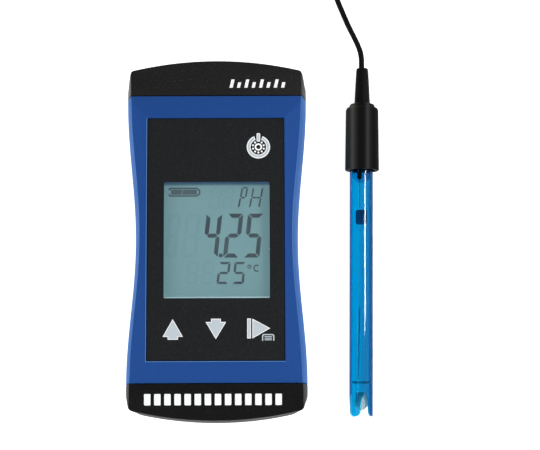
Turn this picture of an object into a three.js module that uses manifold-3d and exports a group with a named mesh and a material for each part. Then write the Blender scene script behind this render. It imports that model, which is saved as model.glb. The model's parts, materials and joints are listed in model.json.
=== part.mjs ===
// A handheld pH meter with its electrode, in millimetres. The meter lies on its back: +Z is out of
// the display, +Y runs towards its socket, +X is to the right of the display, and the origin is the
// middle of the flat back. The electrode lies beside it on the same surface, with its cord coiled
// beyond its head.
import * as THREE from "three";
import { mergeVertices } from "three/addons/utils/BufferGeometryUtils.js";
import Module from "manifold-3d";

const wasm = await Module();
wasm.setup();

// ---------------------------------------------------------------- driving dimensions

const HALF_LENGTH = 54; // over the arched ends
const END_RADIUS = 106; // arch of each end, seen from the front
const WAIST_HALF = 24.35; // half width at mid length
const END_HALF = 27; // half width near the ends
const FLARE_END = 43; // distance from mid length at which the sides stop widening
const FRONT_Z = 28; // top of the frame round the keypad
const PARTING_Z = 14; // joint between the front and rear shells
const SEAM_Y = 42.85; // joints between the shells and the end caps
const WALL = 2.2;
const JOINT_GAP = 0.3;

// How far the outline lies inside its widest line, level by level: [z, sides, ends, corner radius].
const OUTLINE_LEVELS = [
  [0, 6, 5.6, 5],
  [0.6, 4.2, 3.9, 5],
  [2.2, 2.3, 2.1, 5],
  [6, 0.9, 0.8, 5],
  [PARTING_Z, 0, 0, 5],
  [18, 0.35, 0.1, 4.2],
  [21, 0.8, 0.2, 2.4],
  [23, 1.2, 0.3, 1],
  [25.5, 1.8, 0.4, 0.6],
  [29, 1.95, 0.5, 0.5],
];

// The recess that the keypad foil lies in, and the sloped frame round it.
const RECESS = { x: 20.3, bottom: -36.65, top: 35.45, z: 27.1, corner: 0.45 };
const SEAM_Z = 24.6; // front face at the seams
const CAP_END_Z = 23.2; // front face of a cap, 2 mm past its end
const SIDE_SLOPE = 0.515;
const PLATE_UNDERSIDE_Z = 25.4;

const FOIL = { x: 20.1, bottom: -36.45, top: 35.25, z0: 27.2, z1: 27.8, corner: 0.35 };
const WINDOW = { left: -15.25, right: 15.85, bottom: -18.2, top: 16.25, corner: 0.4 };
const DISPLAY = { x: 17, bottom: -20, top: 18, z0: 22.6, z1: 24.8 };
const BOARD = { x: 20, y: 32.5, z0: 17.2, z1: 18.8 };

const KEY_HALF = 4.7;
const KEY_CORNER = 1.5;
const KEY_FLANGE_HALF = 5.35;
const KEYS = [
  { name: "power", x: 12.6, y: 27 },
  { name: "up", x: -12.5, y: -27.3 },
  { name: "down", x: 0, y: -27.3 },
  { name: "menu", x: 13.15, y: -27.3 },
];
const SWITCH_HALF = 3;
const SWITCH_TOP = 22.3;
const PLUNGER_TOP = 24;

const CELL_RADIUS = 5.15;
const CELL_X = 5.4;
const CELL_Z = 7.9;
const CELL_Y0 = -35.5;
const CELL_Y1 = 9;
const BAY = { x: 11, bottom: -38.5, top: 10.3, z1: 13.6 }; // inside of the battery bay
const BAY_WALL = 1.1;
const DOOR = { x: 12.3, bottom: -39.3, top: 18, z1: 1.3, corner: 2 };
const DOOR_SCREW_Y = 14.6;
const CASE_SCREW = { x: 17, y: 36.5 };

const SOCKET_Z = 14;
const SOCKET_RECESS_RADIUS = 8.2; // clears a plug's coupling ring
const BULKHEAD_Y0 = 41.2;
const BULKHEAD_Y1 = 43.6;

// The electrode, along its own axis: 0 is where the shaft enters the head, + is towards the cord.
const ELECTRODE_AT = [44.07, 23.42, 5.06];
const ELECTRODE_TILT = 1.08; // degrees, because it rests on the head's rim and the tip
const ELECTRODE_YAW = -0.61;
const SHAFT_RADIUS = 3.58;
const SHAFT_BORE = 2.85;
const SHAFT_END = -75.2;
const GUARD_SLOT_TURNS = [18, 162, 270]; // degrees from straight up to each slot of the guard
const HEAD_LENGTH = 20.8;
const BOOT_END = 32.45;

const CORD_RADIUS = 0.85;
const COIL_AT = [45.3, 93.6];
const COIL_MEAN_RADIUS = 9.5;
const COIL_ACROSS = 8.7; // four turns side by side
const COIL_HEIGHT = 6.9; // four layers
const TIE_TURN = 55; // degrees round the coil
const TIE_WIDTH = 3;
const TIE_THICKNESS = 0.6;

const PLUG_AT = [22.5, 90.5, 7.3]; // where the cord enters the plug's boot; the plug points to -X
const PLUG_BOOT_LENGTH = 10;
const PLUG_RING_RADIUS = 7.25;

const COLOURS = {
  blue: { color: 0x2c4e90, roughness: 0.45, metalness: 0 },
  black: { color: 0x232324, roughness: 0.6, metalness: 0 },
  rubber: { color: 0x1a1a1a, roughness: 0.8, metalness: 0 },
  foil: { color: 0x262829, roughness: 0.7, metalness: 0 },
  clear: { color: 0xdfe8ea, roughness: 0.05, metalness: 0 },
  display: { color: 0x709396, roughness: 0.3, metalness: 0 },
  white: { color: 0xe8e8e2, roughness: 0.5, metalness: 0 },
  board: { color: 0x1f5a36, roughness: 0.5, metalness: 0 },
  chip: { color: 0x161616, roughness: 0.4, metalness: 0 },
  steel: { color: 0xb4b6b8, roughness: 0.35, metalness: 1 },
  nickel: { color: 0xc8c6c0, roughness: 0.25, metalness: 1 },
  gold: { color: 0xd6ad52, roughness: 0.25, metalness: 1 },
  cell: { color: 0x3c4a55, roughness: 0.4, metalness: 0.5 },
  shaft: { color: 0x0788bd, roughness: 0.1, metalness: 0 },
  glass: { color: 0xd0dde2, roughness: 0.05, metalness: 0 },
};

// ---------------------------------------------------------------- solids

/** A closed geometry as a solid that can be cut and joined. */
function solid(geometry) {
  const bare = geometry.clone();
  bare.deleteAttribute("normal");
  bare.deleteAttribute("uv");
  const merged = mergeVertices(bare, 1e-4);
  const index = merged.index.array;
  const at = merged.attributes.position.array;
  const triangles = [];
  for (let i = 0; i < index.length; i += 3) {
    const [a, b, c] = [index[i], index[i + 1], index[i + 2]];
    if (a !== b && b !== c && a !== c) triangles.push(a, b, c);
  }
  if (signedVolume(at, triangles) < 0) triangles.reverse();
  const mesh = new wasm.Mesh({
    numProp: 3,
    vertProperties: new Float32Array(at),
    triVerts: new Uint32Array(triangles),
  });
  return new wasm.Manifold(mesh);
}

function signedVolume(at, triangles) {
  const [a, b, c] = [new THREE.Vector3(), new THREE.Vector3(), new THREE.Vector3()];
  let total = 0;
  for (let i = 0; i < triangles.length; i += 3) {
    a.fromArray(at, 3 * triangles[i]);
    b.fromArray(at, 3 * triangles[i + 1]);
    c.fromArray(at, 3 * triangles[i + 2]);
    total += a.dot(b.cross(c));
  }
  return total;
}

function geometryOf(piece) {
  const mesh = piece.getMesh();
  const geometry = new THREE.BufferGeometry();
  geometry.setAttribute("position", new THREE.BufferAttribute(new Float32Array(mesh.vertProperties), 3));
  geometry.setIndex(Array.from(mesh.triVerts));
  return geometry;
}

const union = (...pieces) => pieces.reduce((a, b) => a.add(b));
const cut = (piece, ...tools) => tools.reduce((a, b) => a.subtract(b), piece);

function box(x0, x1, y0, y1, z0, z1) {
  const geometry = new THREE.BoxGeometry(x1 - x0, y1 - y0, z1 - z0);
  return solid(geometry.translate((x0 + x1) / 2, (y0 + y1) / 2, (z0 + z1) / 2));
}

/** A rectangle with round corners. */
function roundedRectangle(x0, x1, y0, y1, corner) {
  const shape = new THREE.Shape();
  shape.moveTo(x0 + corner, y0);
  shape.absarc(x1 - corner, y0 + corner, corner, -Math.PI / 2, 0);
  shape.absarc(x1 - corner, y1 - corner, corner, 0, Math.PI / 2);
  shape.absarc(x0 + corner, y1 - corner, corner, Math.PI / 2, Math.PI);
  shape.absarc(x0 + corner, y0 + corner, corner, Math.PI, 1.5 * Math.PI);
  return shape;
}

function plate(shape, z0, z1, curveSegments = 3) {
  const geometry = new THREE.ExtrudeGeometry(shape, { depth: z1 - z0, bevelEnabled: false, curveSegments });
  return solid(geometry.translate(0, 0, z0));
}

function roundedPlate(x0, x1, y0, y1, z0, z1, corner) {
  return plate(roundedRectangle(x0, x1, y0, y1, corner), z0, z1);
}

/** A plate in the shape of the window, drawn in by an inset. */
function windowPlate(inset, z0, z1) {
  const { left, right, bottom, top, corner } = WINDOW;
  return roundedPlate(left + inset, right - inset, bottom + inset, top - inset, z0, z1, corner);
}

/** A prism along X or Y over a closed polygon of [along the other axis, z] points. */
function prism(axis, points, from, to) {
  const shape = new THREE.Shape(points.map(([a, b]) => new THREE.Vector2(a, b)));
  const geometry = new THREE.ExtrudeGeometry(shape, { depth: to - from, bevelEnabled: false });
  if (axis === "y") return solid(geometry.rotateX(Math.PI / 2).translate(0, to, 0));
  const basis = new THREE.Matrix4().makeBasis(
    new THREE.Vector3(0, 1, 0),
    new THREE.Vector3(0, 0, 1),
    new THREE.Vector3(1, 0, 0),
  );
  return solid(geometry.applyMatrix4(basis).translate(from, 0, 0));
}

/** A solid of revolution about Y from a closed profile of [radius, y] points. */
function turned(profile, segments = 24) {
  const points = profile.map(([r, y]) => new THREE.Vector2(r, y));
  if (profile[0][0] > 0) points.push(points[0].clone());
  return solid(new THREE.LatheGeometry(points, segments));
}

const alongZ = (piece, x = 0, y = 0, z = 0) => piece.rotate([90, 0, 0]).translate([x, y, z]);

function rodY(radius, y0, y1, x, z, segments = 24) {
  return turned([[0, y0], [radius, y0], [radius, y1], [0, y1]], segments).translate([x, 0, z]);
}

function rodZ(radius, z0, z1, x, y, segments = 20) {
  return alongZ(turned([[0, z0], [radius, z0], [radius, z1], [0, z1]], segments), x, y, 0);
}

/** A round tube along a curve through the points. */
function tube(points, radius, steps, sides) {
  const curve = new THREE.CatmullRomCurve3(points.map((p) => new THREE.Vector3(...p)), false, "centripetal");
  const section = new THREE.Shape();
  for (let i = 0; i < sides; i += 1) {
    const turn = (2 * Math.PI * i) / sides;
    const [x, y] = [radius * Math.cos(turn), radius * Math.sin(turn)];
    if (i === 0) section.moveTo(x, y);
    else section.lineTo(x, y);
  }
  return solid(new THREE.ExtrudeGeometry(section, { steps, extrudePath: curve, bevelEnabled: false }));
}

/** Closed outlines, each with the same number of [x, y] points, joined level by level. */
function loft(levels) {
  const count = levels[0].points.length;
  const positions = [];
  const index = [];
  for (const { z, points } of levels) {
    for (const [x, y] of points) positions.push(x, y, z);
  }
  for (let level = 0; level + 1 < levels.length; level += 1) {
    for (let i = 0; i < count; i += 1) {
      const [a, b] = [level * count + i, level * count + ((i + 1) % count)];
      index.push(a, b, b + count, a, b + count, a + count);
    }
  }
  const contour = levels[0].points.map(([x, y]) => new THREE.Vector2(x, y));
  const top = (levels.length - 1) * count;
  for (const [a, b, c] of THREE.ShapeUtils.triangulateShape(contour, [])) {
    index.push(c, b, a, top + a, top + b, top + c);
  }
  const geometry = new THREE.BufferGeometry();
  geometry.setAttribute("position", new THREE.Float32BufferAttribute(positions, 3));
  geometry.setIndex(index);
  return solid(geometry);
}

// ---------------------------------------------------------------- scene graph

const model = new THREE.Group();
const electrode = new THREE.Group();
electrode.position.set(...ELECTRODE_AT);
electrode.rotation.set(
  THREE.MathUtils.degToRad(ELECTRODE_TILT),
  0,
  THREE.MathUtils.degToRad(ELECTRODE_YAW),
  "ZYX",
);
const plug = new THREE.Group();
plug.position.set(...PLUG_AT);
plug.rotation.z = Math.PI / 2;
model.add(electrode, plug);

function place(name, piece, look, group = model) {
  const mesh = new THREE.Mesh(geometryOf(piece), new THREE.MeshStandardMaterial(COLOURS[look]));
  mesh.name = name;
  group.add(mesh);
}

// ---------------------------------------------------------------- housing

const halfWidth = (y) => {
  const share = Math.min(Math.abs(y) / FLARE_END, 1);
  return WAIST_HALF + ((END_HALF - WAIST_HALF) * (1 - Math.cos(Math.PI * share))) / 2;
};
const archHeight = (x) => HALF_LENGTH - END_RADIUS + Math.sqrt(END_RADIUS ** 2 - x ** 2);

/** The housing's outline, drawn in from its widest line, as counter-clockwise points. */
function outline(sideInset, endInset, corner) {
  const [sideSteps, cornerSteps, archSteps] = [7, 4, 4];
  const side = (y) => [halfWidth(y) - sideInset, y];
  const arch = (x) => [x, archHeight(x) - endInset];
  let [cornerX, cornerY] = [END_HALF, HALF_LENGTH];
  for (let i = 0; i < 4; i += 1) {
    cornerX = side(cornerY)[0];
    cornerY = arch(cornerX)[1];
  }
  const quarter = [];
  for (let i = 0; i < sideSteps; i += 1) quarter.push(side((i / sideSteps) * (cornerY - corner)));
  const [from, to] = [side(cornerY - corner), arch(cornerX - corner)];
  for (let i = 0; i <= cornerSteps; i += 1) {
    const t = i / cornerSteps;
    const weights = [(1 - t) ** 2, 2 * Math.SQRT1_2 * t * (1 - t), t ** 2];
    const sum = weights[0] + weights[1] + weights[2];
    const mix = (a, b, c) => (weights[0] * a + weights[1] * b + weights[2] * c) / sum;
    quarter.push([mix(from[0], cornerX, to[0]), mix(from[1], cornerY, to[1])]);
  }
  for (let i = 1; i <= archSteps; i += 1) quarter.push(arch((1 - i / archSteps) * (cornerX - corner)));
  const backward = quarter.slice().reverse();
  return [
    ...quarter,
    ...backward.slice(1).map(([x, y]) => [-x, y]),
    ...quarter.slice(1).map(([x, y]) => [-x, -y]),
    ...backward.slice(1, -1).map(([x, y]) => [x, -y]),
  ];
}

/** The body inside the outline and under the front face, drawn in by a wall and cut at a floor. */
function housingBody(wall, floor, drop, ceiling) {
  const levels = OUTLINE_LEVELS.map(([z, side, end, corner]) => ({
    z,
    points: outline(side + wall, end + wall, Math.max(corner - wall / 2, 0.4)),
  }));
  const top = FRONT_Z - drop;
  const far = 40;
  const edge = top - SIDE_SLOPE * (far - RECESS.x);
  const across = [[-far, -2], [far, -2], [far, edge], [RECESS.x, top], [-RECESS.x, top], [-far, edge]];
  const along = [
    [-56, floor], [56, floor],
    [56, CAP_END_Z - drop],
    [SEAM_Y, SEAM_Z - drop],
    [RECESS.top, top], [RECESS.bottom, top],
    [-SEAM_Y, SEAM_Z - drop],
    [-56, CAP_END_Z - drop],
  ];
  const roof = prism("y", across, -56, 56).intersect(prism("x", along, -40, 40));
  const body = loft(levels).intersect(roof);
  return ceiling ? body.intersect(box(-40, 40, -56, 56, -1, ceiling)) : body;
}

const outer = housingBody(0, -1, 0, 0);
const inner = housingBody(WALL, WALL, 2.5, PLATE_UNDERSIDE_Z);
const walls = cut(outer, inner);
const between = (y0, y1, z0, z1) => walls.intersect(box(-40, 40, y0, y1, z0, z1));
const SHELL_Y = SEAM_Y - JOINT_GAP / 2;
const mirrored = (piece) => union(piece, piece.mirror([1, 0, 0]));

/** The ribs at the board's long edges, which hold it between the two shells. */
function boardRibs(z0, z1) {
  const ribs = [-18, 12].map((y) => box(18.6, 20.1, y, y + 4, z0, z1));
  return mirrored(union(...ribs));
}

function frontShell() {
  const screwPost = (y) => rodZ(3.2, PARTING_Z + 0.15, 25.6, CASE_SCREW.x, y);
  const screwHole = (y) => rodZ(1.5, PARTING_Z, 22.4, CASE_SCREW.x, y, 12);
  const seat = { x: 16.8, bottom: -19.5, top: 17.55 };
  const openings = KEYS.map(({ x, y }) => {
    const half = KEY_HALF + 0.4;
    return roundedPlate(x - half, x + half, y - half, y + half, 24, 29, KEY_CORNER + 0.3);
  });
  const shell = union(
    between(-SHELL_Y, SHELL_Y, PARTING_Z + JOINT_GAP / 2, 30),
    mirrored(union(screwPost(CASE_SCREW.y), screwPost(-CASE_SCREW.y))),
    boardRibs(BOARD.z1 + 0.3, PLATE_UNDERSIDE_Z + 0.5),
  );
  return cut(
    shell,
    mirrored(union(screwHole(CASE_SCREW.y), screwHole(-CASE_SCREW.y))),
    roundedPlate(-RECESS.x, RECESS.x, RECESS.bottom, RECESS.top, RECESS.z, 29, RECESS.corner),
    roundedPlate(-seat.x, seat.x, seat.bottom, seat.top, 26.2, 29, 0.5),
    windowPlate(-0.2, 24, 29),
    ...openings,
  );
}

function rearShell() {
  const bayTop = BAY.z1 + BAY_WALL;
  const [trayX, trayY0, trayY1] = [BAY.x + BAY_WALL, BAY.bottom - BAY_WALL, BAY.top + BAY_WALL];
  const tray = box(-trayX, trayX, trayY0, trayY1, 1, bayTop);
  const bay = box(-BAY.x, BAY.x, BAY.bottom, BAY.top, -1, BAY.z1);
  const [x, gap] = [DOOR.x + 0.2, 0.2];
  const pocket = roundedPlate(-x, x, DOOR.bottom - gap, DOOR.top + gap, -1, DOOR.z1 + gap, DOOR.corner);
  const screwPost = (y) => rodZ(3.5, 1, PARTING_Z - 0.15, CASE_SCREW.x, y);
  const screwHole = (y) => union(
    rodZ(1.5, -1, PARTING_Z, CASE_SCREW.x, y, 12),
    rodZ(3, -1, 2.8, CASE_SCREW.x, y, 16),
  );
  const shell = union(
    between(-SHELL_Y, SHELL_Y, -1, PARTING_Z - JOINT_GAP / 2),
    tray,
    mirrored(union(screwPost(CASE_SCREW.y), screwPost(-CASE_SCREW.y))),
    rodZ(2.6, 1, 9, 0, DOOR_SCREW_Y),
    boardRibs(2, BOARD.z0 - 0.3),
  );
  return cut(
    shell,
    bay,
    pocket,
    rodZ(1.25, -1, 7.6, 0, DOOR_SCREW_Y, 12),
    mirrored(union(screwHole(CASE_SCREW.y), screwHole(-CASE_SCREW.y))),
  );
}

const CAP_START = SEAM_Y + JOINT_GAP / 2;
const LIP_LENGTH = 2;

/** What may stand inside the shells' open end: their hollow, less a running gap and a wall. */
function insideShells(wall) {
  const inset = WALL + 0.3 + wall;
  return housingBody(inset, inset, 2.8 + wall, PLATE_UNDERSIDE_Z - 0.3 - wall);
}

/** An end cap: a cup whose lip plugs into the open end of the two shells. */
function capShell() {
  const lip = cut(insideShells(0), insideShells(1.1));
  const rim = cut(housingBody(0.6, 0.6, 0.6, 0), insideShells(1.1));
  return union(
    between(CAP_START, 60, -1, 30),
    lip.intersect(box(-40, 40, SEAM_Y - LIP_LENGTH, CAP_START + 0.9, 0, 30)),
    rim.intersect(box(-40, 40, CAP_START, CAP_START + 1.2, -1, 30)),
  );
}

function topCap() {
  const sleeve = rodY(SOCKET_RECESS_RADIUS + 1.8, BULKHEAD_Y0, 55, 0, SOCKET_Z, 32);
  const inCap = sleeve.intersect(outer).intersect(box(-40, 40, CAP_START, 60, -1, 30));
  const inShells = sleeve.intersect(insideShells(0)).intersect(box(-40, 40, 40, CAP_START + 1, -1, 30));
  return cut(
    union(capShell(), inCap, inShells),
    rodY(SOCKET_RECESS_RADIUS, BULKHEAD_Y1, 60, 0, SOCKET_Z, 32),
    rodY(4.95, 40, 45, 0, SOCKET_Z),
  );
}

function buildHousing() {
  place("front_shell", frontShell(), "blue");
  place("rear_shell", rearShell(), "blue");
  place("top_cap", topCap(), "black");
  place("bottom_cap", capShell().rotate([0, 0, 180]), "black");
}

/** A cross-headed screw standing on +Z, with its head's face at z. */
function screwZ(x, y, z, headRadius, headHeight, shankRadius, length) {
  const profile = [
    [0, z], [headRadius, z], [headRadius, z + headHeight],
    [shankRadius, z + headHeight], [shankRadius, z + length], [0, z + length],
  ];
  const [arm, half] = [headRadius * 0.55, 0.35];
  const cross = union(
    box(-arm, arm, -half, half, z - 1, z + 0.9),
    box(-half, half, -arm, arm, z - 1, z + 0.9),
  );
  return cut(alongZ(turned(profile, 14)), cross).translate([x, y, 0]);
}

function buildFasteners() {
  let number = 1;
  for (const y of [CASE_SCREW.y, -CASE_SCREW.y]) {
    for (const x of [-CASE_SCREW.x, CASE_SCREW.x]) {
      place(`case_screw_${number}`, screwZ(x, y, 0.7, 2.7, 1.8, 1.3, 21), "steel");
      number += 1;
    }
  }
  place("door_screw", screwZ(0, DOOR_SCREW_Y, 0.1, 1.9, 0.9, 1.05, 7), "steel");
}

// ---------------------------------------------------------------- keypad and display

function buildKeypad() {
  const keyHoles = KEYS.map(({ x, y }) => {
    const half = KEY_HALF + 0.15;
    return roundedPlate(x - half, x + half, y - half, y + half, 27, 28, KEY_CORNER + 0.1);
  });
  const sheet = roundedPlate(-FOIL.x, FOIL.x, FOIL.bottom, FOIL.top, FOIL.z0, FOIL.z1, FOIL.corner);
  place("keypad_foil", cut(sheet, windowPlate(0, 27, 28), ...keyHoles), "foil");
  const pane = union(
    roundedPlate(-16.6, 16.6, -19.3, 17.35, 26.3, 27, 0.5),
    windowPlate(0.15, 26.9, 27.75),
  );
  place("window_pane", pane, "clear");
  for (const { name, x, y } of KEYS) {
    const square = (half, corner, z0, z1) => (
      roundedPlate(x - half, x + half, y - half, y + half, z0, z1, corner)
    );
    const key = union(square(KEY_HALF, KEY_CORNER, 25, FOIL.z1), square(KEY_FLANGE_HALF, 1.2, 24.3, 25.1));
    place(`key_${name}`, key, "foil");
  }
}

function buildSwitches() {
  for (const { name, x, y } of KEYS) {
    const half = SWITCH_HALF;
    const body = box(x - half, x + half, y - half, y + half, BOARD.z1 + 0.1, SWITCH_TOP);
    place(`switch_${name}`, cut(body, rodZ(2.05, 19.6, 23, x, y, 16)), "chip");
    place(`plunger_${name}`, rodZ(1.75, 20.4, PLUNGER_TOP, x, y, 16), "white");
  }
}

function buildDisplay() {
  const { x, bottom, top, z0, z1 } = DISPLAY;
  place("display_glass", box(-x, x, bottom, top, z0, z1), "display");
  place("display_backlight", box(-16.6, 16.6, bottom + 0.4, 15.7, BOARD.z1 + 0.4, z0 - 0.2), "white");
  place("display_connector", box(-15.5, 15.5, 16.1, 17.6, BOARD.z1 + 0.2, z0 - 0.2), "rubber");
  const frame = cut(
    box(-x - 1.2, x + 1.2, bottom - 1.2, top + 1.2, BOARD.z1 + 0.3, z1 - 0.2),
    box(-x - 0.3, x + 0.3, bottom - 0.3, top + 0.3, 18, 26),
  );
  place("display_frame", frame, "white");
}

function buildBoard() {
  place("main_board", box(-BOARD.x, BOARD.x, -BOARD.y, BOARD.y, BOARD.z0, BOARD.z1), "board");
  place("controller_chip", box(-13, -3, 17, 27, 15.3, BOARD.z0 - 0.2), "chip");
  place("input_chip", box(5, 11, 19, 25, 15.5, BOARD.z0 - 0.2), "chip");
}

// ---------------------------------------------------------------- battery bay

/** An AAA cell along Y, its raised contact towards +Y. */
function cell() {
  const body = CELL_Y1 - 0.8;
  const profile = [
    [0, CELL_Y0], [CELL_RADIUS, CELL_Y0], [CELL_RADIUS, body], [1.9, body], [1.9, CELL_Y1], [0, CELL_Y1],
  ];
  return turned(profile, 24);
}

/** A conical contact spring on a small plate at the bay's lower end. */
function contactSpring(x) {
  const points = [];
  const [turns, perTurn] = [2, 8];
  for (let i = 0; i <= turns * perTurn; i += 1) {
    const share = i / (turns * perTurn);
    const radius = 3.4 - 1.4 * share;
    const turn = 2 * Math.PI * turns * share;
    const y = BAY.bottom + 0.6 + 1.7 * share;
    points.push([x + radius * Math.cos(turn), y, CELL_Z + radius * Math.sin(turn)]);
  }
  const back = box(x - 4, x + 4, BAY.bottom + 0.3, BAY.bottom + 0.7, CELL_Z - 4, CELL_Z + 4);
  return union(back, tube(points, 0.3, 20, 6));
}

function buildSupply() {
  const middle = (CELL_Y0 + CELL_Y1) / 2;
  place("battery_1", cell().translate([-CELL_X, 0, CELL_Z]), "cell");
  place("battery_2", cell().rotate([0, 0, 180]).translate([CELL_X, 2 * middle, CELL_Z]), "cell");
  place("contact_link", box(-9.4, 9.4, BAY.top - 0.8, BAY.top - 0.3, CELL_Z - 4, CELL_Z + 4), "steel");
  place("contact_spring_1", contactSpring(-CELL_X), "steel");
  place("contact_spring_2", contactSpring(CELL_X), "steel");
  const door = union(
    roundedPlate(-DOOR.x, DOOR.x, DOOR.bottom, DOOR.top, 0, DOOR.z1, DOOR.corner),
    box(-BAY.x + 0.3, BAY.x - 0.3, BAY.bottom + 0.3, BAY.top - 0.3, 1, 2.2),
  );
  const screwSeat = union(rodZ(2.2, -1, 1.2, 0, DOOR_SCREW_Y, 16), rodZ(1.3, -1, 3, 0, DOOR_SCREW_Y, 12));
  place("battery_door", cut(door, screwSeat), "blue");
}

// ---------------------------------------------------------------- socket for the electrode

function hexagonY(radius, y0, y1) {
  return rodY(radius, y0, y1, 0, 0, 6);
}

function buildSocket() {
  const at = [0, 0, SOCKET_Z];
  const barrel = turned([
    [2.6, 37.5], [4.75, 37.5], [4.75, 44], [4.8, 44], [4.8, 53.3], [4.05, 53.3], [4.05, 44.8], [2.6, 44.8],
  ]);
  const lugs = cut(rodY(1, -5.5, 5.5, 0, 0, 10).rotate([0, 0, 90]), rodY(4.4, -6, 6, 0, 0))
    .translate([0, 50.8, 0]);
  const flange = cut(hexagonY(6.8, BULKHEAD_Y1 + 0.15, 45.3), rodY(4.4, 40, 50, 0, 0));
  place("socket_shell", union(barrel, flange, lugs).translate(at), "nickel");
  const insulator = turned([[1.35, 37], [2.4, 37], [2.4, 49.6], [1.35, 49.6]], 16);
  place("socket_insulator", insulator.translate(at), "white");
  const contact = turned([[0, 34.4], [1.1, 34.4], [1.1, 49], [0.7, 49], [0.7, 45.5], [0, 45.5]], 12);
  place("socket_contact", contact.translate(at), "gold");
  place("socket_nut", cut(hexagonY(7, 38.8, 41), rodY(4.95, 38, 42, 0, 0)).translate(at), "nickel");
}

// ---------------------------------------------------------------- electrode

/** The slots of the guard: three pointed arches, which leave three prongs. */
function guardSlots() {
  const half = [
    [0, -68.2], [0.5, -68.7], [0.85, -69.7], [1.15, -71.2], [1.35, -73], [1.55, -74.2], [1.95, -74.9],
    [2.5, -75.25],
  ];
  const outlinePoints = [
    ...half,
    [2.5, -76], [-2.5, -76],
    ...half.slice(1).reverse().map(([x, y]) => [-x, y]),
  ];
  const arch = solid(new THREE.ExtrudeGeometry(
    new THREE.Shape(outlinePoints.map(([x, y]) => new THREE.Vector2(x, y))),
    { depth: 5, bevelEnabled: false },
  ));
  return union(...GUARD_SLOT_TURNS.map((turn) => arch.rotate([0, turn, 0])));
}

function buildShaft() {
  const wall = turned([
    [SHAFT_BORE, SHAFT_END], [SHAFT_RADIUS, SHAFT_END], [SHAFT_RADIUS, 7], [SHAFT_BORE, 7],
  ], 32);
  place("electrode_shaft", cut(wall, guardSlots()), "shaft", electrode);
  const resin = turned([
    [0, -3.8], [1, -3.62], [1.9, -3.05], [2.55, -2.1], [2.65, -1.6], [2.65, 6.5], [0, 6.5],
  ], 20);
  place("shaft_plug", cut(resin, rodY(0.85, -6, 8, -0.5, 0, 12)), "shaft", electrode);
  const lead = turned([[0, -11.9], [0.2, -11.9], [0.2, -2.3], [0.6, -2.3], [0.6, 6.5], [0, 6.5]], 10);
  place("inner_lead", lead.translate([-0.5, 0, 0]), "rubber", electrode);
  place("inner_seal", rodY(1.74, -16.6, -12.3, 0, 0, 20), "rubber", electrode);
  const stem = turned([[1.25, -67.6], [1.75, -67.6], [1.75, -16.9], [1.25, -16.9]], 20);
  place("inner_stem", stem, "glass", electrode);
  const wire = rodY(0.22, -63.9, -42.2, 0, 0, 8).rotate([0, 0, -1]).translate([0.15, 0, 2.3]);
  place("reference_wire", wire, "steel", electrode);
  const ring = turned([[2.05, -65.3], [2.65, -65.3], [2.65, -64.4], [2.05, -64.4]], 20);
  place("diaphragm_ring", ring, "white", electrode);
  const bulb = turned([
    [0, -73.4], [0.9, -73.15], [1.7, -72.4], [2.1, -71.2], [2.05, -70.1], [1.75, -68.9], [1.75, -67.9],
    [1.4, -67.9], [1.4, -68.9], [1.7, -70.1], [1.75, -71.2], [1.4, -72.2], [0.8, -72.75], [0, -72.95],
  ], 20);
  place("glass_bulb", bulb, "glass", electrode);
}

function buildHead() {
  const head = turned([
    [3.75, 0], [5, 0], [4.72, 18.9], [4.4, 19.5], [3.75, 19.75], [3.7, 20.3], [3.3, 20.7], [2.6, HEAD_LENGTH],
    [2.6, 16.8], [0, 16.8], [0, 7.4], [3.75, 7.4],
  ], 32);
  place("electrode_head", head, "black", electrode);
  const boot = turned([
    [0, 17.1], [2.25, 17.1], [2.25, 20.8], [1.72, 32], [1.55, 32.35], [1.2, BOOT_END], [0, BOOT_END],
  ], 20);
  place("electrode_boot", boot, "rubber", electrode);
}

// ---------------------------------------------------------------- cord, coil and plug

// From the boot down to the surface, then along it to the coil.
const CORD_ROUTE = [
  [44.42, 56.16, 5.68], [44.43, 58.2, 5.7], [44.18, 60.4, 5.35], [43.45, 63, 4.3], [42.4, 65.8, 2.95],
  [41.25, 68.6, 1.75], [40.1, 71.4, 1.05], [38.9, 74.4, 0.88], [37.65, 77.5, 0.87], [36.3, 81.2, 0.87],
];

// From the coil's top layer to the plug's boot.
const TAIL_ROUTE = [
  [31.6, 87.3, 6.5], [29.3, 88.75, 6.8], [26.8, 89.85, 7.05], [24.4, 90.42, 7.25], [22.8, 90.5, 7.3],
];

function buildCord() {
  place("cord_tube", tube(CORD_ROUTE, CORD_RADIUS, 14, 8), "rubber");
  place("cord_tail", tube(TAIL_ROUTE, CORD_RADIUS, 5, 8), "rubber");
  const [inside, outside] = [COIL_MEAN_RADIUS - COIL_ACROSS / 2, COIL_MEAN_RADIUS + COIL_ACROSS / 2];
  const ring = alongZ(turned([
    [inside, 0.02], [outside, 0.02], [outside, COIL_HEIGHT], [inside, COIL_HEIGHT],
  ], 32));
  const groove = box(0, 20, -TIE_WIDTH / 2 - 0.3, TIE_WIDTH / 2 + 0.3, -1, TIE_THICKNESS + 0.35);
  const [x0, x1] = [inside - 0.4, outside + 0.4];
  const [z0, z1] = [TIE_THICKNESS + 0.05, COIL_HEIGHT + 0.85];
  const strap = cut(
    box(x0 - TIE_THICKNESS, x1 + TIE_THICKNESS, -TIE_WIDTH / 2, TIE_WIDTH / 2, 0.05, z1 + TIE_THICKNESS),
    box(x0, x1, -TIE_WIDTH, TIE_WIDTH, z0, z1),
  );
  const atCoil = (piece) => piece.rotate([0, 0, TIE_TURN]).translate([...COIL_AT, 0]);
  place("cord_coil", atCoil(cut(ring, groove)), "rubber");
  place("cord_tie", atCoil(strap), "rubber");
}

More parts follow.
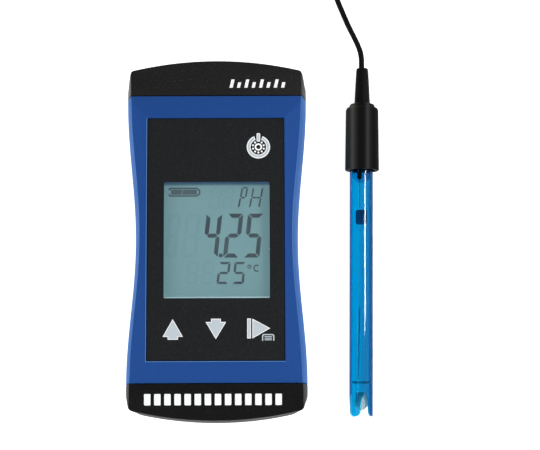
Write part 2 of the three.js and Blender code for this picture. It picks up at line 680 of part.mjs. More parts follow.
/** The bayonet plug, along its own +Y from the cord to its open end. */
function buildPlug() {
  const start = PLUG_BOOT_LENGTH;
  const boot = turned([
    [0, 0], [1.25, 0], [1.5, 0.4], [2.9, start - 0.6], [2.9, start - 0.3], [0, start - 0.3],
  ], 16);
  place("plug_boot", boot, "rubber", plug);
  const body = turned([
    [0, start], [4.3, start], [4.7, start + 0.4], [4.7, start + 8.4], [4.3, start + 8.8], [4, start + 8.8],
    [4, start + 21.5], [3.4, start + 21.5], [3.4, start + 12], [0, start + 12],
  ], 24);
  place("plug_body", body, "nickel", plug);
  const [y0, y1] = [start + 9.2, start + 23.5];
  const ring = turned([
    [4.4, y0], [5.4, y0], [5.4, y0 + 2.6], [PLUG_RING_RADIUS - 0.4, y0 + 2.9], [PLUG_RING_RADIUS, y0 + 3.4],
    [PLUG_RING_RADIUS, y1 - 1], [PLUG_RING_RADIUS - 0.5, y1 - 0.4], [6.4, y1], [5.75, y1], [5.75, y0 + 5],
    [4.4, y0 + 5],
  ], 24);
  place("plug_ring", ring, "nickel", plug);
  const insulator = turned([
    [0.95, start + 12.3], [2.3, start + 12.3], [2.3, start + 18], [0.95, start + 18],
  ], 14);
  place("plug_insulator", insulator, "white", plug);
  place("plug_pin", turned([
    [0, start + 12.3], [0.65, start + 12.3], [0.65, start + 20.4], [0.3, start + 21], [0, start + 21],
  ], 10), "gold", plug);
}

buildHousing();
buildFasteners();
buildKeypad();
buildSwitches();
buildDisplay();
buildBoard();
buildSupply();
buildSocket();
buildShaft();
buildHead();
buildCord();
buildPlug();

export default model;
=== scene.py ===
"""Looks of a handheld pH meter and its electrode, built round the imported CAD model.

Shapes are given in millimetres in the row frame, and become metres as a mesh is made.
"""

import json
import math

import bmesh
import bpy
from mathutils import Euler, Matrix, Vector


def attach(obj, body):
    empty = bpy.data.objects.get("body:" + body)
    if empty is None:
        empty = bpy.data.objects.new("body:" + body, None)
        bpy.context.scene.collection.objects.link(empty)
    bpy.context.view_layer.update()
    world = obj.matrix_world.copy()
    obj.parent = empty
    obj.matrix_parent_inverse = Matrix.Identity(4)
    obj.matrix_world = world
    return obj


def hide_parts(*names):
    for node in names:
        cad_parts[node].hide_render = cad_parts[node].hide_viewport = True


MM = 0.001

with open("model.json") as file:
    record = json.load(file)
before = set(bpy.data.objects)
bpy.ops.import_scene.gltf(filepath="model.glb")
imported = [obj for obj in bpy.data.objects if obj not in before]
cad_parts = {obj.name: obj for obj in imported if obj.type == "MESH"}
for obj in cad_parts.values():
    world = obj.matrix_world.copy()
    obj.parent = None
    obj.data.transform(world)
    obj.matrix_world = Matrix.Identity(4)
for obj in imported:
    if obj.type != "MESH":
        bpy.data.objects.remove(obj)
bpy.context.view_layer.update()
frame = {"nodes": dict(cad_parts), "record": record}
NODES = frame["nodes"]


def moved(x, y, z):
    return Matrix.Translation((x, y, z))


def rotated(degrees, axis):
    return Matrix.Rotation(math.radians(degrees), 4, axis)


def srgb(red, green, blue):
    """A linear colour from 0-255 sRGB values."""
    def linear(value):
        value /= 255
        return value / 12.92 if value <= 0.04045 else ((value + 0.055) / 1.055) ** 2.4
    return (linear(red), linear(green), linear(blue), 1)


def placed(name, data):
    """A new object in the scene."""
    obj = bpy.data.objects.new(name, data)
    bpy.context.scene.collection.objects.link(obj)
    return obj


# ---- camera

CAMERA_TARGET = Vector((15.95, 5.34, 14))
CAMERA_DISTANCE = 570
CAMERA_TILT = math.radians(8.33)
CAMERA_ROLL = -0.2
LENS, SENSOR_WIDTH = 126.2, 36
CLIP_START, CLIP_END = 0.02, 10  # metres


def make_camera():
    data = bpy.data.cameras.new("camera")
    data.lens, data.sensor_width = LENS, SENSOR_WIDTH
    data.clip_start, data.clip_end = CLIP_START, CLIP_END
    camera = placed("camera", data)
    back = Vector((0, -math.sin(CAMERA_TILT), math.cos(CAMERA_TILT)))
    camera.location = (CAMERA_TARGET + back * CAMERA_DISTANCE) * MM
    turn = (-back).to_track_quat("-Z", "Y").to_matrix().to_4x4()
    turn = turn @ rotated(CAMERA_ROLL, "Z")
    camera.rotation_euler = turn.to_euler()
    bpy.context.scene.camera = camera


make_camera()


# ---- materials

# The electrode's middle line at Y 0 in mm, and how far that line moves in X for each unit of Y.
ELECTRODE_MIDDLE, ELECTRODE_LEAN = 43.82, 0.01066
# The shaft's painted shade and gloss from its left side (0) to its right side (1): its colour darkens towards
# both edges and the right side.
SHAFT_PAINTED_SHADE = [
    (0.03, (0.75, 0.74, 0.79, 1)), (0.1, (1, 1, 1, 1)), (0.3, (0.96, 0.89, 0.96, 1)),
    (0.55, (0.92, 0.79, 0.9, 1)), (0.76, (0.82, 0.68, 0.78, 1)), (0.9, (0.68, 0.54, 0.65, 1)),
    (0.96, (0.45, 0.32, 0.44, 1)),
]
GLOSS_LEVELS = [(0.1, 0), (0.3, 0.12), (0.5, 0.25), (0.58, 1), (0.74, 1), (0.79, 0.1), (0.85, 0)]
# The head's colours from its left side to its right side: painted highlights at 0.22 and at 0.66, and painted
# shade darkening both edges.
HEAD_PAINTED_SHEEN_AND_SHADE = [
    (0.05, srgb(8, 8, 7)), (0.09, srgb(46, 47, 42)), (0.16, srgb(66, 67, 60)), (0.22, srgb(94, 95, 87)),
    (0.3, srgb(60, 60, 55)), (0.38, srgb(31, 30, 29)), (0.46, srgb(24, 22, 23)), (0.54, srgb(24, 22, 23)),
    (0.59, srgb(34, 33, 33)), (0.66, srgb(61, 61, 61)), (0.72, srgb(38, 39, 38)), (0.79, srgb(21, 21, 21)),
    (0.88, srgb(13, 13, 12)), (0.95, srgb(4, 4, 4)),
]
# Half the width in mm that the painted shade of the shaft and the painted highlights and shade of the head
# spread over.
SHAFT_SPREAD, HEAD_SPREAD = 3.6, 5.4
# The part of a noise's range that shades and gloss follow.
NOISE_LOW, NOISE_HIGH = 0.3, 0.7


class Shader:
    """A material with a Principled shader and short calls for its procedural nodes."""

    def __init__(self, name, color, roughness, specular=0.5, **sockets):
        self.material = bpy.data.materials.new(name)
        self.material.use_nodes = True
        self.tree = self.material.node_tree
        self.principled = self.tree.nodes["Principled BSDF"]
        self.color = color
        self.set(Base_Color=color, Roughness=roughness, Specular_IOR_Level=specular, **sockets)
        self.coordinates = self.tree.nodes.new("ShaderNodeTexCoord").outputs["Object"]

    def set(self, **sockets):
        for socket, value in sockets.items():
            self.principled.inputs[socket.replace("_", " ")].default_value = value

    def link(self, output, socket):
        self.tree.links.new(output, self.principled.inputs[socket])

    def node(self, kind, source, socket=0, **values):
        """A node with its values set and a source linked to one of its sockets."""
        node = self.tree.nodes.new("ShaderNode" + kind)
        for name, value in values.items():
            node.inputs[name.replace("_", " ")].default_value = value
        self.tree.links.new(source, node.inputs[socket])
        return node

    def noise(self, scale, detail=2, stretch=None):
        source = self.coordinates
        if stretch:
            source = self.node("Mapping", source, Scale=stretch).outputs["Vector"]
        return self.node("TexNoise", source, Scale=scale, Detail=detail).outputs["Fac"]

    def along_y(self):
        return self.node("SeparateXYZ", self.coordinates).outputs["Y"]

    def paint(self, source, stops, socket="Base Color"):
        self.link(self.ramp(source, stops), socket)

    def ramp(self, source, stops):
        node = self.node("ValToRGB", source)
        elements = node.color_ramp.elements
        while len(elements) < len(stops):
            elements.new(0.5)
        for element, (position, color) in zip(elements, stops):
            element.position = position
            element.color = color
        return node.outputs["Color"]

    def span(self, source, start, end, low=0, high=1):
        """Turns start to end of a source into low to high."""
        node = self.node("MapRange", source, From_Min=start, From_Max=end, To_Min=low, To_Max=high)
        return node.outputs["Result"]

    def shades(self, source, spread):
        """Base colour that varies by a share of itself with a noise."""
        def shade(factor):
            return tuple(min(channel * factor, 1) for channel in self.color[:3]) + (1,)
        self.paint(source, [(NOISE_LOW, shade(1 - spread)), (NOISE_HIGH, shade(1 + spread))])

    def gloss(self, source, low, high):
        self.link(self.span(source, NOISE_LOW, NOISE_HIGH, low, high), "Roughness")

    def bump(self, source, height, strength=1):
        node = self.node("Bump", source, "Height", Strength=strength, Distance=height * MM)
        self.link(node.outputs["Normal"], "Normal")


def moulded(name, color, roughness, grain, height, spread=0.05, **sockets):
    """Moulded plastic: a fine grain, and soft patches of colour and gloss. Scales are per metre."""
    shader = Shader(name, color, roughness, **sockets)
    fine = shader.noise(grain, 3)
    shader.shades(shader.noise(grain / 3, 4), spread)
    shader.gloss(shader.noise(60, 2), roughness - 0.04, roughness + 0.04)
    shader.bump(fine, height)
    return shader.material


def metal(name, color, roughness, stretch=(1, 1, 1)):
    """Plated or drawn metal, with fine marks along its making direction."""
    shader = Shader(name, color, roughness, Metallic=1)
    marks = shader.noise(900, 3, stretch)
    shader.shades(marks, 0.06)
    shader.gloss(shader.noise(500, 4, stretch), roughness * 0.7, roughness * 1.3)
    shader.bump(marks, 0.004)
    return shader.material


def tinted(name, color, roughness, transmission=1, **sockets):
    """Clear or tinted glass and plastic with slow ripples."""
    shader = Shader(name, color, roughness, Transmission_Weight=transmission, **sockets)
    shader.bump(shader.noise(150, 1, (1, 0.25, 1)), 0.01, 0.4)
    return shader.material


def across_electrode(shader, spread):
    """How far across the electrode a point lies: 0 at its left side, 1 at its right side."""
    offset = shader.node("VectorMath", shader.coordinates)
    offset.operation = "DOT_PRODUCT"
    offset.inputs[1].default_value = (1, -ELECTRODE_LEAN, 0)
    start, end = (ELECTRODE_MIDDLE - spread) * MM, (ELECTRODE_MIDDLE + spread) * MM
    return shader.span(offset.outputs["Value"], start, end)


def absorbing(name, density, absorbed, roughness, ior, **sockets):
    """Clear plastic dyed through its thickness, so that it is darkest where it is seen edge-on; painted shade
    in its colour also darkens both edges and the right side.
    """
    shader = Shader(name, (1, 1, 1, 1), roughness, Transmission_Weight=1, IOR=ior, **sockets)
    place = across_electrode(shader, SHAFT_SPREAD)
    # The base colour is painted shade: darker towards both edges and towards the right side.
    shader.paint(place, SHAFT_PAINTED_SHADE)
    shader.paint(place, [(at, (level, level, level, 1)) for at, level in GLOSS_LEVELS], "Coat Weight")
    shader.bump(shader.noise(120, 1, (1, 0.2, 1)), 0.0002, 0.3)
    volume = shader.tree.nodes.new("ShaderNodeVolumeAbsorption")
    volume.inputs["Color"].default_value = absorbed
    volume.inputs["Density"].default_value = density
    output = shader.tree.nodes["Material Output"]
    shader.tree.links.new(volume.outputs["Volume"], output.inputs["Volume"])
    return shader.material


def head_plastic_painted_sheen():
    """Black plastic with two painted highlights along it and painted shade towards its edges."""
    shader = Shader("head_plastic_painted_sheen", HEAD_PAINTED_SHEEN_AND_SHADE[0][1], 0.5, specular=0.02)
    shader.paint(across_electrode(shader, HEAD_SPREAD), HEAD_PAINTED_SHEEN_AND_SHADE)
    shader.bump(shader.noise(4200, 3), 0.008)
    return shader.material


def speckled(name, color, fleck, grain, share, roughness, **sockets):
    """Dark plastic or film whose grain catches the light as small pale flecks."""
    shader = Shader(name, color, roughness, **sockets)
    fine = shader.noise(grain, 3)
    shader.paint(fine, [(share, color), (share + 0.14, fleck)])
    shader.gloss(shader.noise(70, 2), roughness - 0.05, roughness + 0.05)
    shader.bump(fine, 0.02)
    return shader.material


def circuit_board():
    """Solder mask with copper tracks showing through."""
    shader = Shader("solder_mask", srgb(22, 84, 48), 0.35)
    copper, mask = srgb(40, 112, 62), srgb(20, 74, 42)
    tracks = shader.node("TexVoronoi", shader.coordinates, Scale=420).outputs["Distance"]
    shader.paint(tracks, [(0.42, mask), (0.5, copper)])
    shader.bump(tracks, 0.03)
    return shader.material


def cell_sleeve():
    """The printed sleeve of a battery: dark with a copper-coloured end."""
    shader = Shader("battery_sleeve", srgb(46, 54, 60), 0.3, Metallic=0.6)
    shader.paint(shader.along_y(), [(0, shader.color), (0.001, srgb(176, 118, 62))])
    shader.bump(shader.noise(300, 2), 0.01)
    return shader.material


def display_painted_glow_and_shadow():
    """The display's polariser, glowing evenly as painted light, with a painted shadow darkening the band
    along its upper edge.
    """
    # The face glows as painted light, so that the recess's shade doesn't darken its sides.
    shader = Shader("display_polariser_painted_light", srgb(105, 138, 142), 0.6, 0.1, Emission_Strength=0.6)
    height = shader.span(shader.along_y(), 15 * MM, 17 * MM)
    # rim is a painted shadow: the band along the upper edge is darker in colour and in glow.
    face, rim = shader.color, srgb(63, 89, 106)
    shade = shader.ramp(height, [(0.2, face), (0.5, rim)])
    shader.link(shade, "Base Color")
    shader.link(shade, "Emission Color")
    shader.bump(shader.noise(2500, 2), 0.001)
    return shader.material


MATERIALS = {
    "housing_blue": moulded(
        "housing_blue_plastic", srgb(39, 80, 151), 0.46, 5200, 0.012, 0.045, specular=0.025,
        Sheen_Weight=0.45, Sheen_Roughness=0.35, Sheen_Tint=srgb(60, 175, 255)),
    "cap_black": speckled("cap_plastic", srgb(31, 30, 31), srgb(70, 70, 68), 3600, 0.6, 0.5, specular=0.14),
    "foil_black": speckled(
        "keypad_film", srgb(31, 33, 35), srgb(60, 62, 64), 5200, 0.58, 0.55, specular=0.09),
    "window_clear": tinted("window_plastic", (1, 1, 1, 1), 0.03, IOR=1.12),
    "display_glass": display_painted_glow_and_shadow(),
    "white_plastic": moulded("white_plastic", srgb(228, 228, 220), 0.45, 1500, 0.006, 0.02),
    "board_green": circuit_board(),
    "chip_black": moulded("chip_plastic", srgb(24, 24, 25), 0.4, 6000, 0.006, 0.08),
    "steel": metal("plated_steel", (0.55, 0.56, 0.57, 1), 0.32, (1, 8, 1)),
    "nickel": metal("nickel_plate", (0.66, 0.64, 0.6, 1), 0.2, (6, 1, 6)),
    "gold": metal("gold_plate", (0.78, 0.55, 0.2, 1), 0.22),
    "cell_wrap": cell_sleeve(),
    "shaft_blue": absorbing("shaft_blue_plastic", 4100, (0, 0.85, 0.93, 1), 0.02, 1.12, Coat_Roughness=0.02),
    "clear_glass": tinted("clear_glass", (0.97, 0.99, 1, 1), 0.02, IOR=1.3),
    "rubber_black": moulded("black_rubber", srgb(18, 17, 18), 0.55, 3000, 0.01, 0.08, specular=0.07),
}
RESIN_BLUE = absorbing("resin_blue", 260, (0, 0.75, 0.92, 1), 0.05, 1.2)
STEM_GLASS = tinted("stem_glass", (0.9, 0.97, 1, 1), 0.03, IOR=1.06)
# The reference wire is a pale matte grey, lifted against the tube's shade as painted light.
WIRE_GREY_PAINTED_LIGHT = moulded("wire_grey_painted_light", srgb(225, 235, 245), 0.5, 3000, 0.002, 0.02)
SEAL_GREY = moulded("seal_grey", srgb(122, 122, 158), 0.55, 3000, 0.01, 0.05, specular=0.2)
# The cap plastic made darker and less glossy for the bottom cap: painted shade.
BOTTOM_CAP_PAINTED_SHADE = speckled(
    "bottom_cap_painted_shade", srgb(24, 23, 24), srgb(58, 58, 57), 3600, 0.6, 0.5, specular=0.05)
BULB_GLASS = tinted("bulb_glass", (0.8, 0.85, 0.9, 1), 0.25, 0.45, IOR=1.25)
# Black plastic with painted highlights and painted shade across the head.
HEAD_BLACK_PAINTED_SHEEN = head_plastic_painted_sheen()
RING_BLUE = moulded("porous_ring", srgb(205, 225, 240), 0.7, 2500, 0.02, 0.1)
# A painted highlight for the rounded rim of the recess.
RIM_PAINTED_GLINT = moulded("housing_rim_painted_glint", srgb(92, 142, 205), 0.46, 5200, 0.002, 0.04, specular=0.2)
PRINT_LIGHT = moulded("light_print", srgb(206, 217, 224), 0.5, 3000, 0.002, 0.02)
# White print that glows a little: painted light on top of the print's own colour.
PRINT_WHITE_PAINTED_GLOW = moulded(
    "white_print_painted_glow", srgb(246, 247, 247), 0.5, 3000, 0.002, 0.01,
    Emission_Color=(1, 1, 1, 1), Emission_Strength=0.18)
# A painted highlight: a pale strip that glows along the window's lower edge.
EDGE_PAINTED_GLINT = moulded(
    "display_edge_painted_glint", srgb(172, 200, 206), 0.5, 2500, 0.002, 0.03,
    Emission_Color=srgb(172, 200, 206), Emission_Strength=0.45)
SEGMENT_DARK = moulded("display_segment", srgb(88, 103, 112), 0.6, 3000, 0.001, 0.03, specular=0.1)
SEGMENT_GREY = moulded("display_block", srgb(98, 116, 122), 0.6, 3000, 0.001, 0.03, specular=0.1)
# The unlit segments glow like the display face, as painted light.
SEGMENT_GHOST = moulded(
    "display_ghost", srgb(102, 135, 139), 0.6, 3000, 0.001, 0.02, specular=0.1,
    Emission_Color=srgb(102, 135, 139), Emission_Strength=0.6)


# ---- meshes

def made(name, vertices, faces, place=None, sharp=30):
    """A mesh object in the row frame."""
    mesh = bpy.data.meshes.new(name)
    mesh.from_pydata([(place @ Vector(v) if place else Vector(v)) * MM for v in vertices], [], faces)
    obj = placed(name, mesh)
    finish_mesh(obj, sharp)
    return obj


def dress(obj, body, slot, replaced, material=None):
    """Puts a piece on its body, in its slot and in the place of the CAD nodes that it replaces."""
    obj.data.materials.clear()
    obj.data.materials.append(material or MATERIALS[slot])
    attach(obj, body)
    if replaced:
        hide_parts(*replaced)
    return obj


def piece(name, vertices, faces, body, slot, *replaced, place=None, material=None, sharp=30):
    return dress(made(name, vertices, faces, place, sharp), body, slot, replaced, material)


def finished(obj, name, body, slot, *replaced, material=None, sharp=30):
    """Names and readies a piece that was made by cutting and joining."""
    obj.name = name
    finish_mesh(obj, sharp)
    return dress(obj, body, slot, replaced, material)


def tool(vertices, faces, place=None):
    return made("tool", vertices, faces, place)


def finish_mesh(obj, sharp=30):
    """Joins doubled points, turns the faces outward and shades smoothly between sharp edges."""
    work = bmesh.new()
    work.from_mesh(obj.data)
    bmesh.ops.remove_doubles(work, verts=work.verts, dist=1e-7)
    bmesh.ops.dissolve_degenerate(work, edges=work.edges, dist=1e-7)
    bmesh.ops.recalc_face_normals(work, faces=work.faces)
    work.to_mesh(obj.data)
    work.free()
    obj.data.shade_smooth()
    obj.data.set_sharp_from_angle(angle=math.radians(sharp))


def combine(obj, operation, *tools):
    """Cuts, joins or intersects obj with tools, which are then gone."""
    for tool in tools:
        modifier = obj.modifiers.new("combine", "BOOLEAN")
        modifier.operation = operation
        modifier.solver = "EXACT"
        modifier.object = tool
        graph = bpy.context.evaluated_depsgraph_get()
        mesh = bpy.data.meshes.new_from_object(obj.evaluated_get(graph))
        obj.modifiers.clear()
        obj.data = mesh
        bpy.data.objects.remove(tool)
    return obj


def cut(obj, *tools):
    return combine(obj, "DIFFERENCE", *tools)


def join(obj, *tools):
    return combine(obj, "UNION", *tools)


def within(obj, tool):
    return combine(obj, "INTERSECT", tool)


def round_edges(obj, width, chosen=None):
    """Rounds the edges that turn by more than 25 degrees, where chosen says yes to the edge's middle."""
    work = bmesh.new()
    work.from_mesh(obj.data)
    bmesh.ops.remove_doubles(work, verts=work.verts, dist=2e-6)
    bmesh.ops.dissolve_degenerate(work, edges=work.edges, dist=2e-6)
    limit = math.radians(25)
    edges = []
    for edge in work.edges:
        if len(edge.link_faces) == 2 and edge.calc_face_angle(0) > limit:
            middle = (edge.verts[0].co + edge.verts[1].co) / 2 / MM
            if chosen is None or chosen(middle):
                edges.append(edge)
    bmesh.ops.bevel(
        work, geom=edges, offset=width * MM, segments=2, profile=0.5, affect="EDGES", clamp_overlap=True)
    work.to_mesh(obj.data)
    work.free()


def capped_faces(rows, count):
    """Quads between rows of points, with the first and last row closed by one face each."""
    faces = []
    for row in range(rows - 1):
        for i in range(count):
            a, b = row * count + i, row * count + (i + 1) % count
            faces.append((a, b, b + count, a + count))
    return [*faces, tuple(range(count)), tuple(range((rows - 1) * count, rows * count))]


def ring_faces(lines, count, start=0):
    """Quads between closed lines of points, with the last line joined to the first."""
    faces = []
    for a in range(lines):
        b = (a + 1) % lines
        for i in range(count):
            j = (i + 1) % count
            corners = (a * count + i, a * count + j, b * count + j, b * count + i)
            faces.append(tuple(start + corner for corner in corners))
    return faces


def box(x0, x1, y0, y1, z0, z1):
    return prism([(x0, y0), (x1, y0), (x1, y1), (x0, y1)], z0, z1)


def prism(points, z0, z1, place=None):
    vertices = [(x, y, z) for z in (z0, z1) for x, y in points]
    return tool(vertices, capped_faces(2, len(points)), place)


def loft_data(levels):
    """Vertices and faces of closed outlines joined level by level, each (z, points)."""
    vertices = [(x, y, z) for z, points in levels for x, y in points]
    return vertices, capped_faces(len(levels), len(levels[0][1]))


def rounded(x0, x1, y0, y1, corner, steps=8):
    points = []
    corners = [(x1 - corner, y0 + corner, -90), (x1 - corner, y1 - corner, 0),
               (x0 + corner, y1 - corner, 90), (x0 + corner, y0 + corner, 180)]
    for x, y, start in corners:
        for i in range(steps + 1):
            turn = math.radians(start + 90 * i / steps)
            points.append((x + corner * math.cos(turn), y + corner * math.sin(turn)))
    return points


def square(x, y, half, corner):
    return rounded(x - half, x + half, y - half, y + half, corner)


def circle(x, y, radius, steps=32):
    turns = [2 * math.pi * i / steps for i in range(steps)]
    return [(x + radius * math.cos(turn), y + radius * math.sin(turn)) for turn in turns]


def soft_plate(x0, x1, y0, y1, z0, z1, corner, edge):
    """A plate with a rounded rim on top."""
    levels = [(z0, rounded(x0, x1, y0, y1, corner))]
    for share in (0, 0.25, 0.5, 0.75, 1):
        inset = edge * (1 - math.cos(share * math.pi / 2))
        z = z1 - edge + edge * math.sin(share * math.pi / 2)
        levels.append((z, rounded(x0 + inset, x1 - inset, y0 + inset, y1 - inset, corner - inset)))
    return tool(*loft_data(levels))


def fillet(points, radius):
    """A closed outline with its corners rounded. Points on the axis, where the first number is 0, stay."""
    result = []
    for before, here, after in zip(points[-1:] + points[:-1], points, points[1:] + points[:1]):
        if here[0] == 0:
            result.append(here)
            continue
        before, here, after = Vector(before), Vector(here), Vector(after)
        reach = min(radius, 0.45 * (before - here).length, 0.45 * (after - here).length)
        start = here + (before - here).normalized() * reach
        end = here + (after - here).normalized() * reach
        for t in (0, 0.25, 0.5, 0.75, 1):
            mixed = start * (1 - t) ** 2 + here * 2 * t * (1 - t) + end * t ** 2
            result.append((mixed.x, mixed.y))
    return result


def lathe_data(profile, segments=64, ribs=None):
    """Vertices and faces turned about Y from a closed profile of (radius, y).

    Ribs is (y0, y1, count, depth, the radius beyond which they are cut).
    """
    vertices, rows = [], []
    for radius, y in profile:
        if radius < 1e-6:
            rows.append([len(vertices)] * segments)
            vertices.append((0, y, 0))
            continue
        row = []
        for i in range(segments):
            turn = 2 * math.pi * i / segments
            r = radius
            if ribs and ribs[0] < y < ribs[1] and radius > ribs[4]:
                r -= ribs[3] * (0.5 - 0.5 * math.cos(turn * ribs[2]))
            row.append(len(vertices))
            vertices.append((r * math.sin(turn), y, r * math.cos(turn)))
        rows.append(row)
    faces = []
    for row, after in zip(rows, rows[1:] + rows[:1]):
        if row[0] == row[1] and after[0] == after[1]:
            continue
        for i in range(segments):
            j = (i + 1) % segments
            faces.append(tuple(dict.fromkeys((row[i], row[j], after[j], after[i]))))
    return vertices, faces


def rod_z(radius, z0, z1, x, y):
    return prism(circle(x, y, radius, 48), z0, z1)


def smooth_line(points, per_span):
    """Points along a smooth curve through the given ones."""
    nodes = [Vector(p) for p in points]
    nodes = [nodes[0] * 2 - nodes[1]] + nodes + [nodes[-1] * 2 - nodes[-2]]
    line = []
    for a, b, c, d in zip(nodes, nodes[1:], nodes[2:], nodes[3:]):
        for step in range(per_span):
            t = step / per_span
            bend, twist = 2 * a - 5 * b + 4 * c - d, 3 * b - a - 3 * c + d
            line.append(0.5 * (2 * b + (c - a) * t + bend * t ** 2 + twist * t ** 3))
    return [*line, nodes[-2]]


# ---- cord

CORD_RADIUS = 0.85
CORD_ROUTE = [
    (44.42, 55.2, 5.66), (44.42, 56.16, 5.68), (44.43, 58.2, 5.7), (44.18, 60.4, 5.35), (43.45, 63, 4.3),
    (42.4, 65.8, 2.95), (41.25, 68.6, 1.75), (40.1, 71.4, 1.05), (38.9, 74.4, 0.88), (37.65, 77.5, 0.87),
    (36.3, 81.2, 0.87), (34.8, 84.9, 0.87),
]
TAIL_ROUTE = [
    (31.6, 87.3, 6.5), (29.3, 88.75, 6.8), (26.8, 89.85, 7.05), (24.4, 90.42, 7.25), (22.9, 90.5, 7.3),
]
COIL_AT = (45.3, 93.6)
COIL_OUTER, COIL_INNER = 13, 6
COIL_START, COIL_SWEEP = 202.3, 5727.3
LAYER_SWEEP = 1440
LAYER_HEIGHTS = (0.87, 2.57, 4.27, 5.97, 5.97)
CLIMB_SWEEP = 80
TIE_TURN, TIE_LIFT, TIE_REACH = 55, 0.66, 26
POINTS_PER_TURN, LEAD_POINTS, TAIL_POINTS = 30, 3, 4


def coil_points():
    """Clockwise turns in four layers, which run in and out between the coil's two radii."""
    points = []
    count = round(COIL_SWEEP / 360 * POINTS_PER_TURN)
    for i in range(count + 1):
        swept = COIL_SWEEP * i / count
        layer = int(swept // LAYER_SWEEP)
        share = (swept - layer * LAYER_SWEEP) / LAYER_SWEEP
        inward = share if layer % 2 == 0 else 1 - share
        radius = COIL_OUTER + (COIL_INNER - COIL_OUTER) * inward
        climb = 1 if layer == 0 else min((swept - layer * LAYER_SWEEP) / CLIMB_SWEEP, 1)
        climb = climb * climb * (3 - 2 * climb)
        below = LAYER_HEIGHTS[max(layer - 1, 0)]
        z = below + (LAYER_HEIGHTS[layer] - below) * climb
        angle = COIL_START - swept
        off_tie = abs((angle - TIE_TURN + 180) % 360 - 180) * radius / COIL_OUTER
        if off_tie < TIE_REACH:
            z += TIE_LIFT * (0.5 + 0.5 * math.cos(math.pi * off_tie / TIE_REACH))
        turn = math.radians(angle)
        points.append(Vector((COIL_AT[0] + radius * math.cos(turn), COIL_AT[1] + radius * math.sin(turn), z)))
    return points


def make_cord():
    coil = coil_points()
    lead = smooth_line([*CORD_ROUTE, coil[0]], LEAD_POINTS)[:-1]
    tail = smooth_line([coil[-1], *TAIL_ROUTE], TAIL_POINTS)[1:]
    line = [*lead, *coil, *tail]
    curve = bpy.data.curves.new("electrode_cord", "CURVE")
    curve.dimensions = "3D"
    curve.bevel_depth = CORD_RADIUS * MM
    curve.bevel_resolution = 4
    curve.use_fill_caps = True
    spline = curve.splines.new("POLY")
    spline.points.add(len(line) - 1)
    for point, at in zip(spline.points, line):
        point.co = (*(at * MM), 1)
    spline.use_smooth = True
    cord = placed("electrode_cord", curve)
    curve.materials.append(MATERIALS["rubber_black"])
    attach(cord, "electrode")
    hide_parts("cord_tube", "cord_coil", "cord_tail")
    return cord


def make_tie():
    """A flat strap once round the coil's turns, with softened outer rims."""
    gap, strap, half, rim = 0.35, 0.6, 1.5, 0.14
    inside = (COIL_INNER - CORD_RADIUS - gap, COIL_OUTER + CORD_RADIUS + gap)
    x0, x1, z0, z1 = inside[0] - strap, inside[1] + strap, 0.05, 8.35
    outer = rounded(x0, x1, z0, z1, 1.5, 6)
    inner = rounded(*inside, z0 + strap, z1 - strap, 0.9, 6)
    sections = [
        (outer, -half + rim, 0), (outer, half - rim, 0), (outer, half, rim),
        (inner, half, 0), (inner, -half, 0), (outer, -half, rim),
    ]
    vertices = []
    for line, across, inset in sections:
        for x, z in line:
            x += inset if x < (x0 + x1) / 2 else -inset
            z += inset if z < (z0 + z1) / 2 else -inset
            vertices.append((x, across, z))
    faces = ring_faces(len(sections), len(outer))
    place = moved(*COIL_AT, 0) @ rotated(TIE_TURN, "Z")
    return piece("cord_tie_strap", vertices, faces, "electrode", "rubber_black", "cord_tie", place=place)


CORD = make_cord()
TIE = make_tie()


# ---- plug

PLUG_AT = moved(22.5, 90.5, 7.3) @ rotated(90, "Z")


def turned(name, profile, rounding, body, slot, node, place, segments=64, ribs=None, material=None, sharp=30):
    """A piece turned about Y, which takes the place of one CAD node."""
    data = lathe_data(fillet(profile, rounding), segments, ribs)
    return piece(name, *data, body, slot, node, place=place, material=material, sharp=sharp)


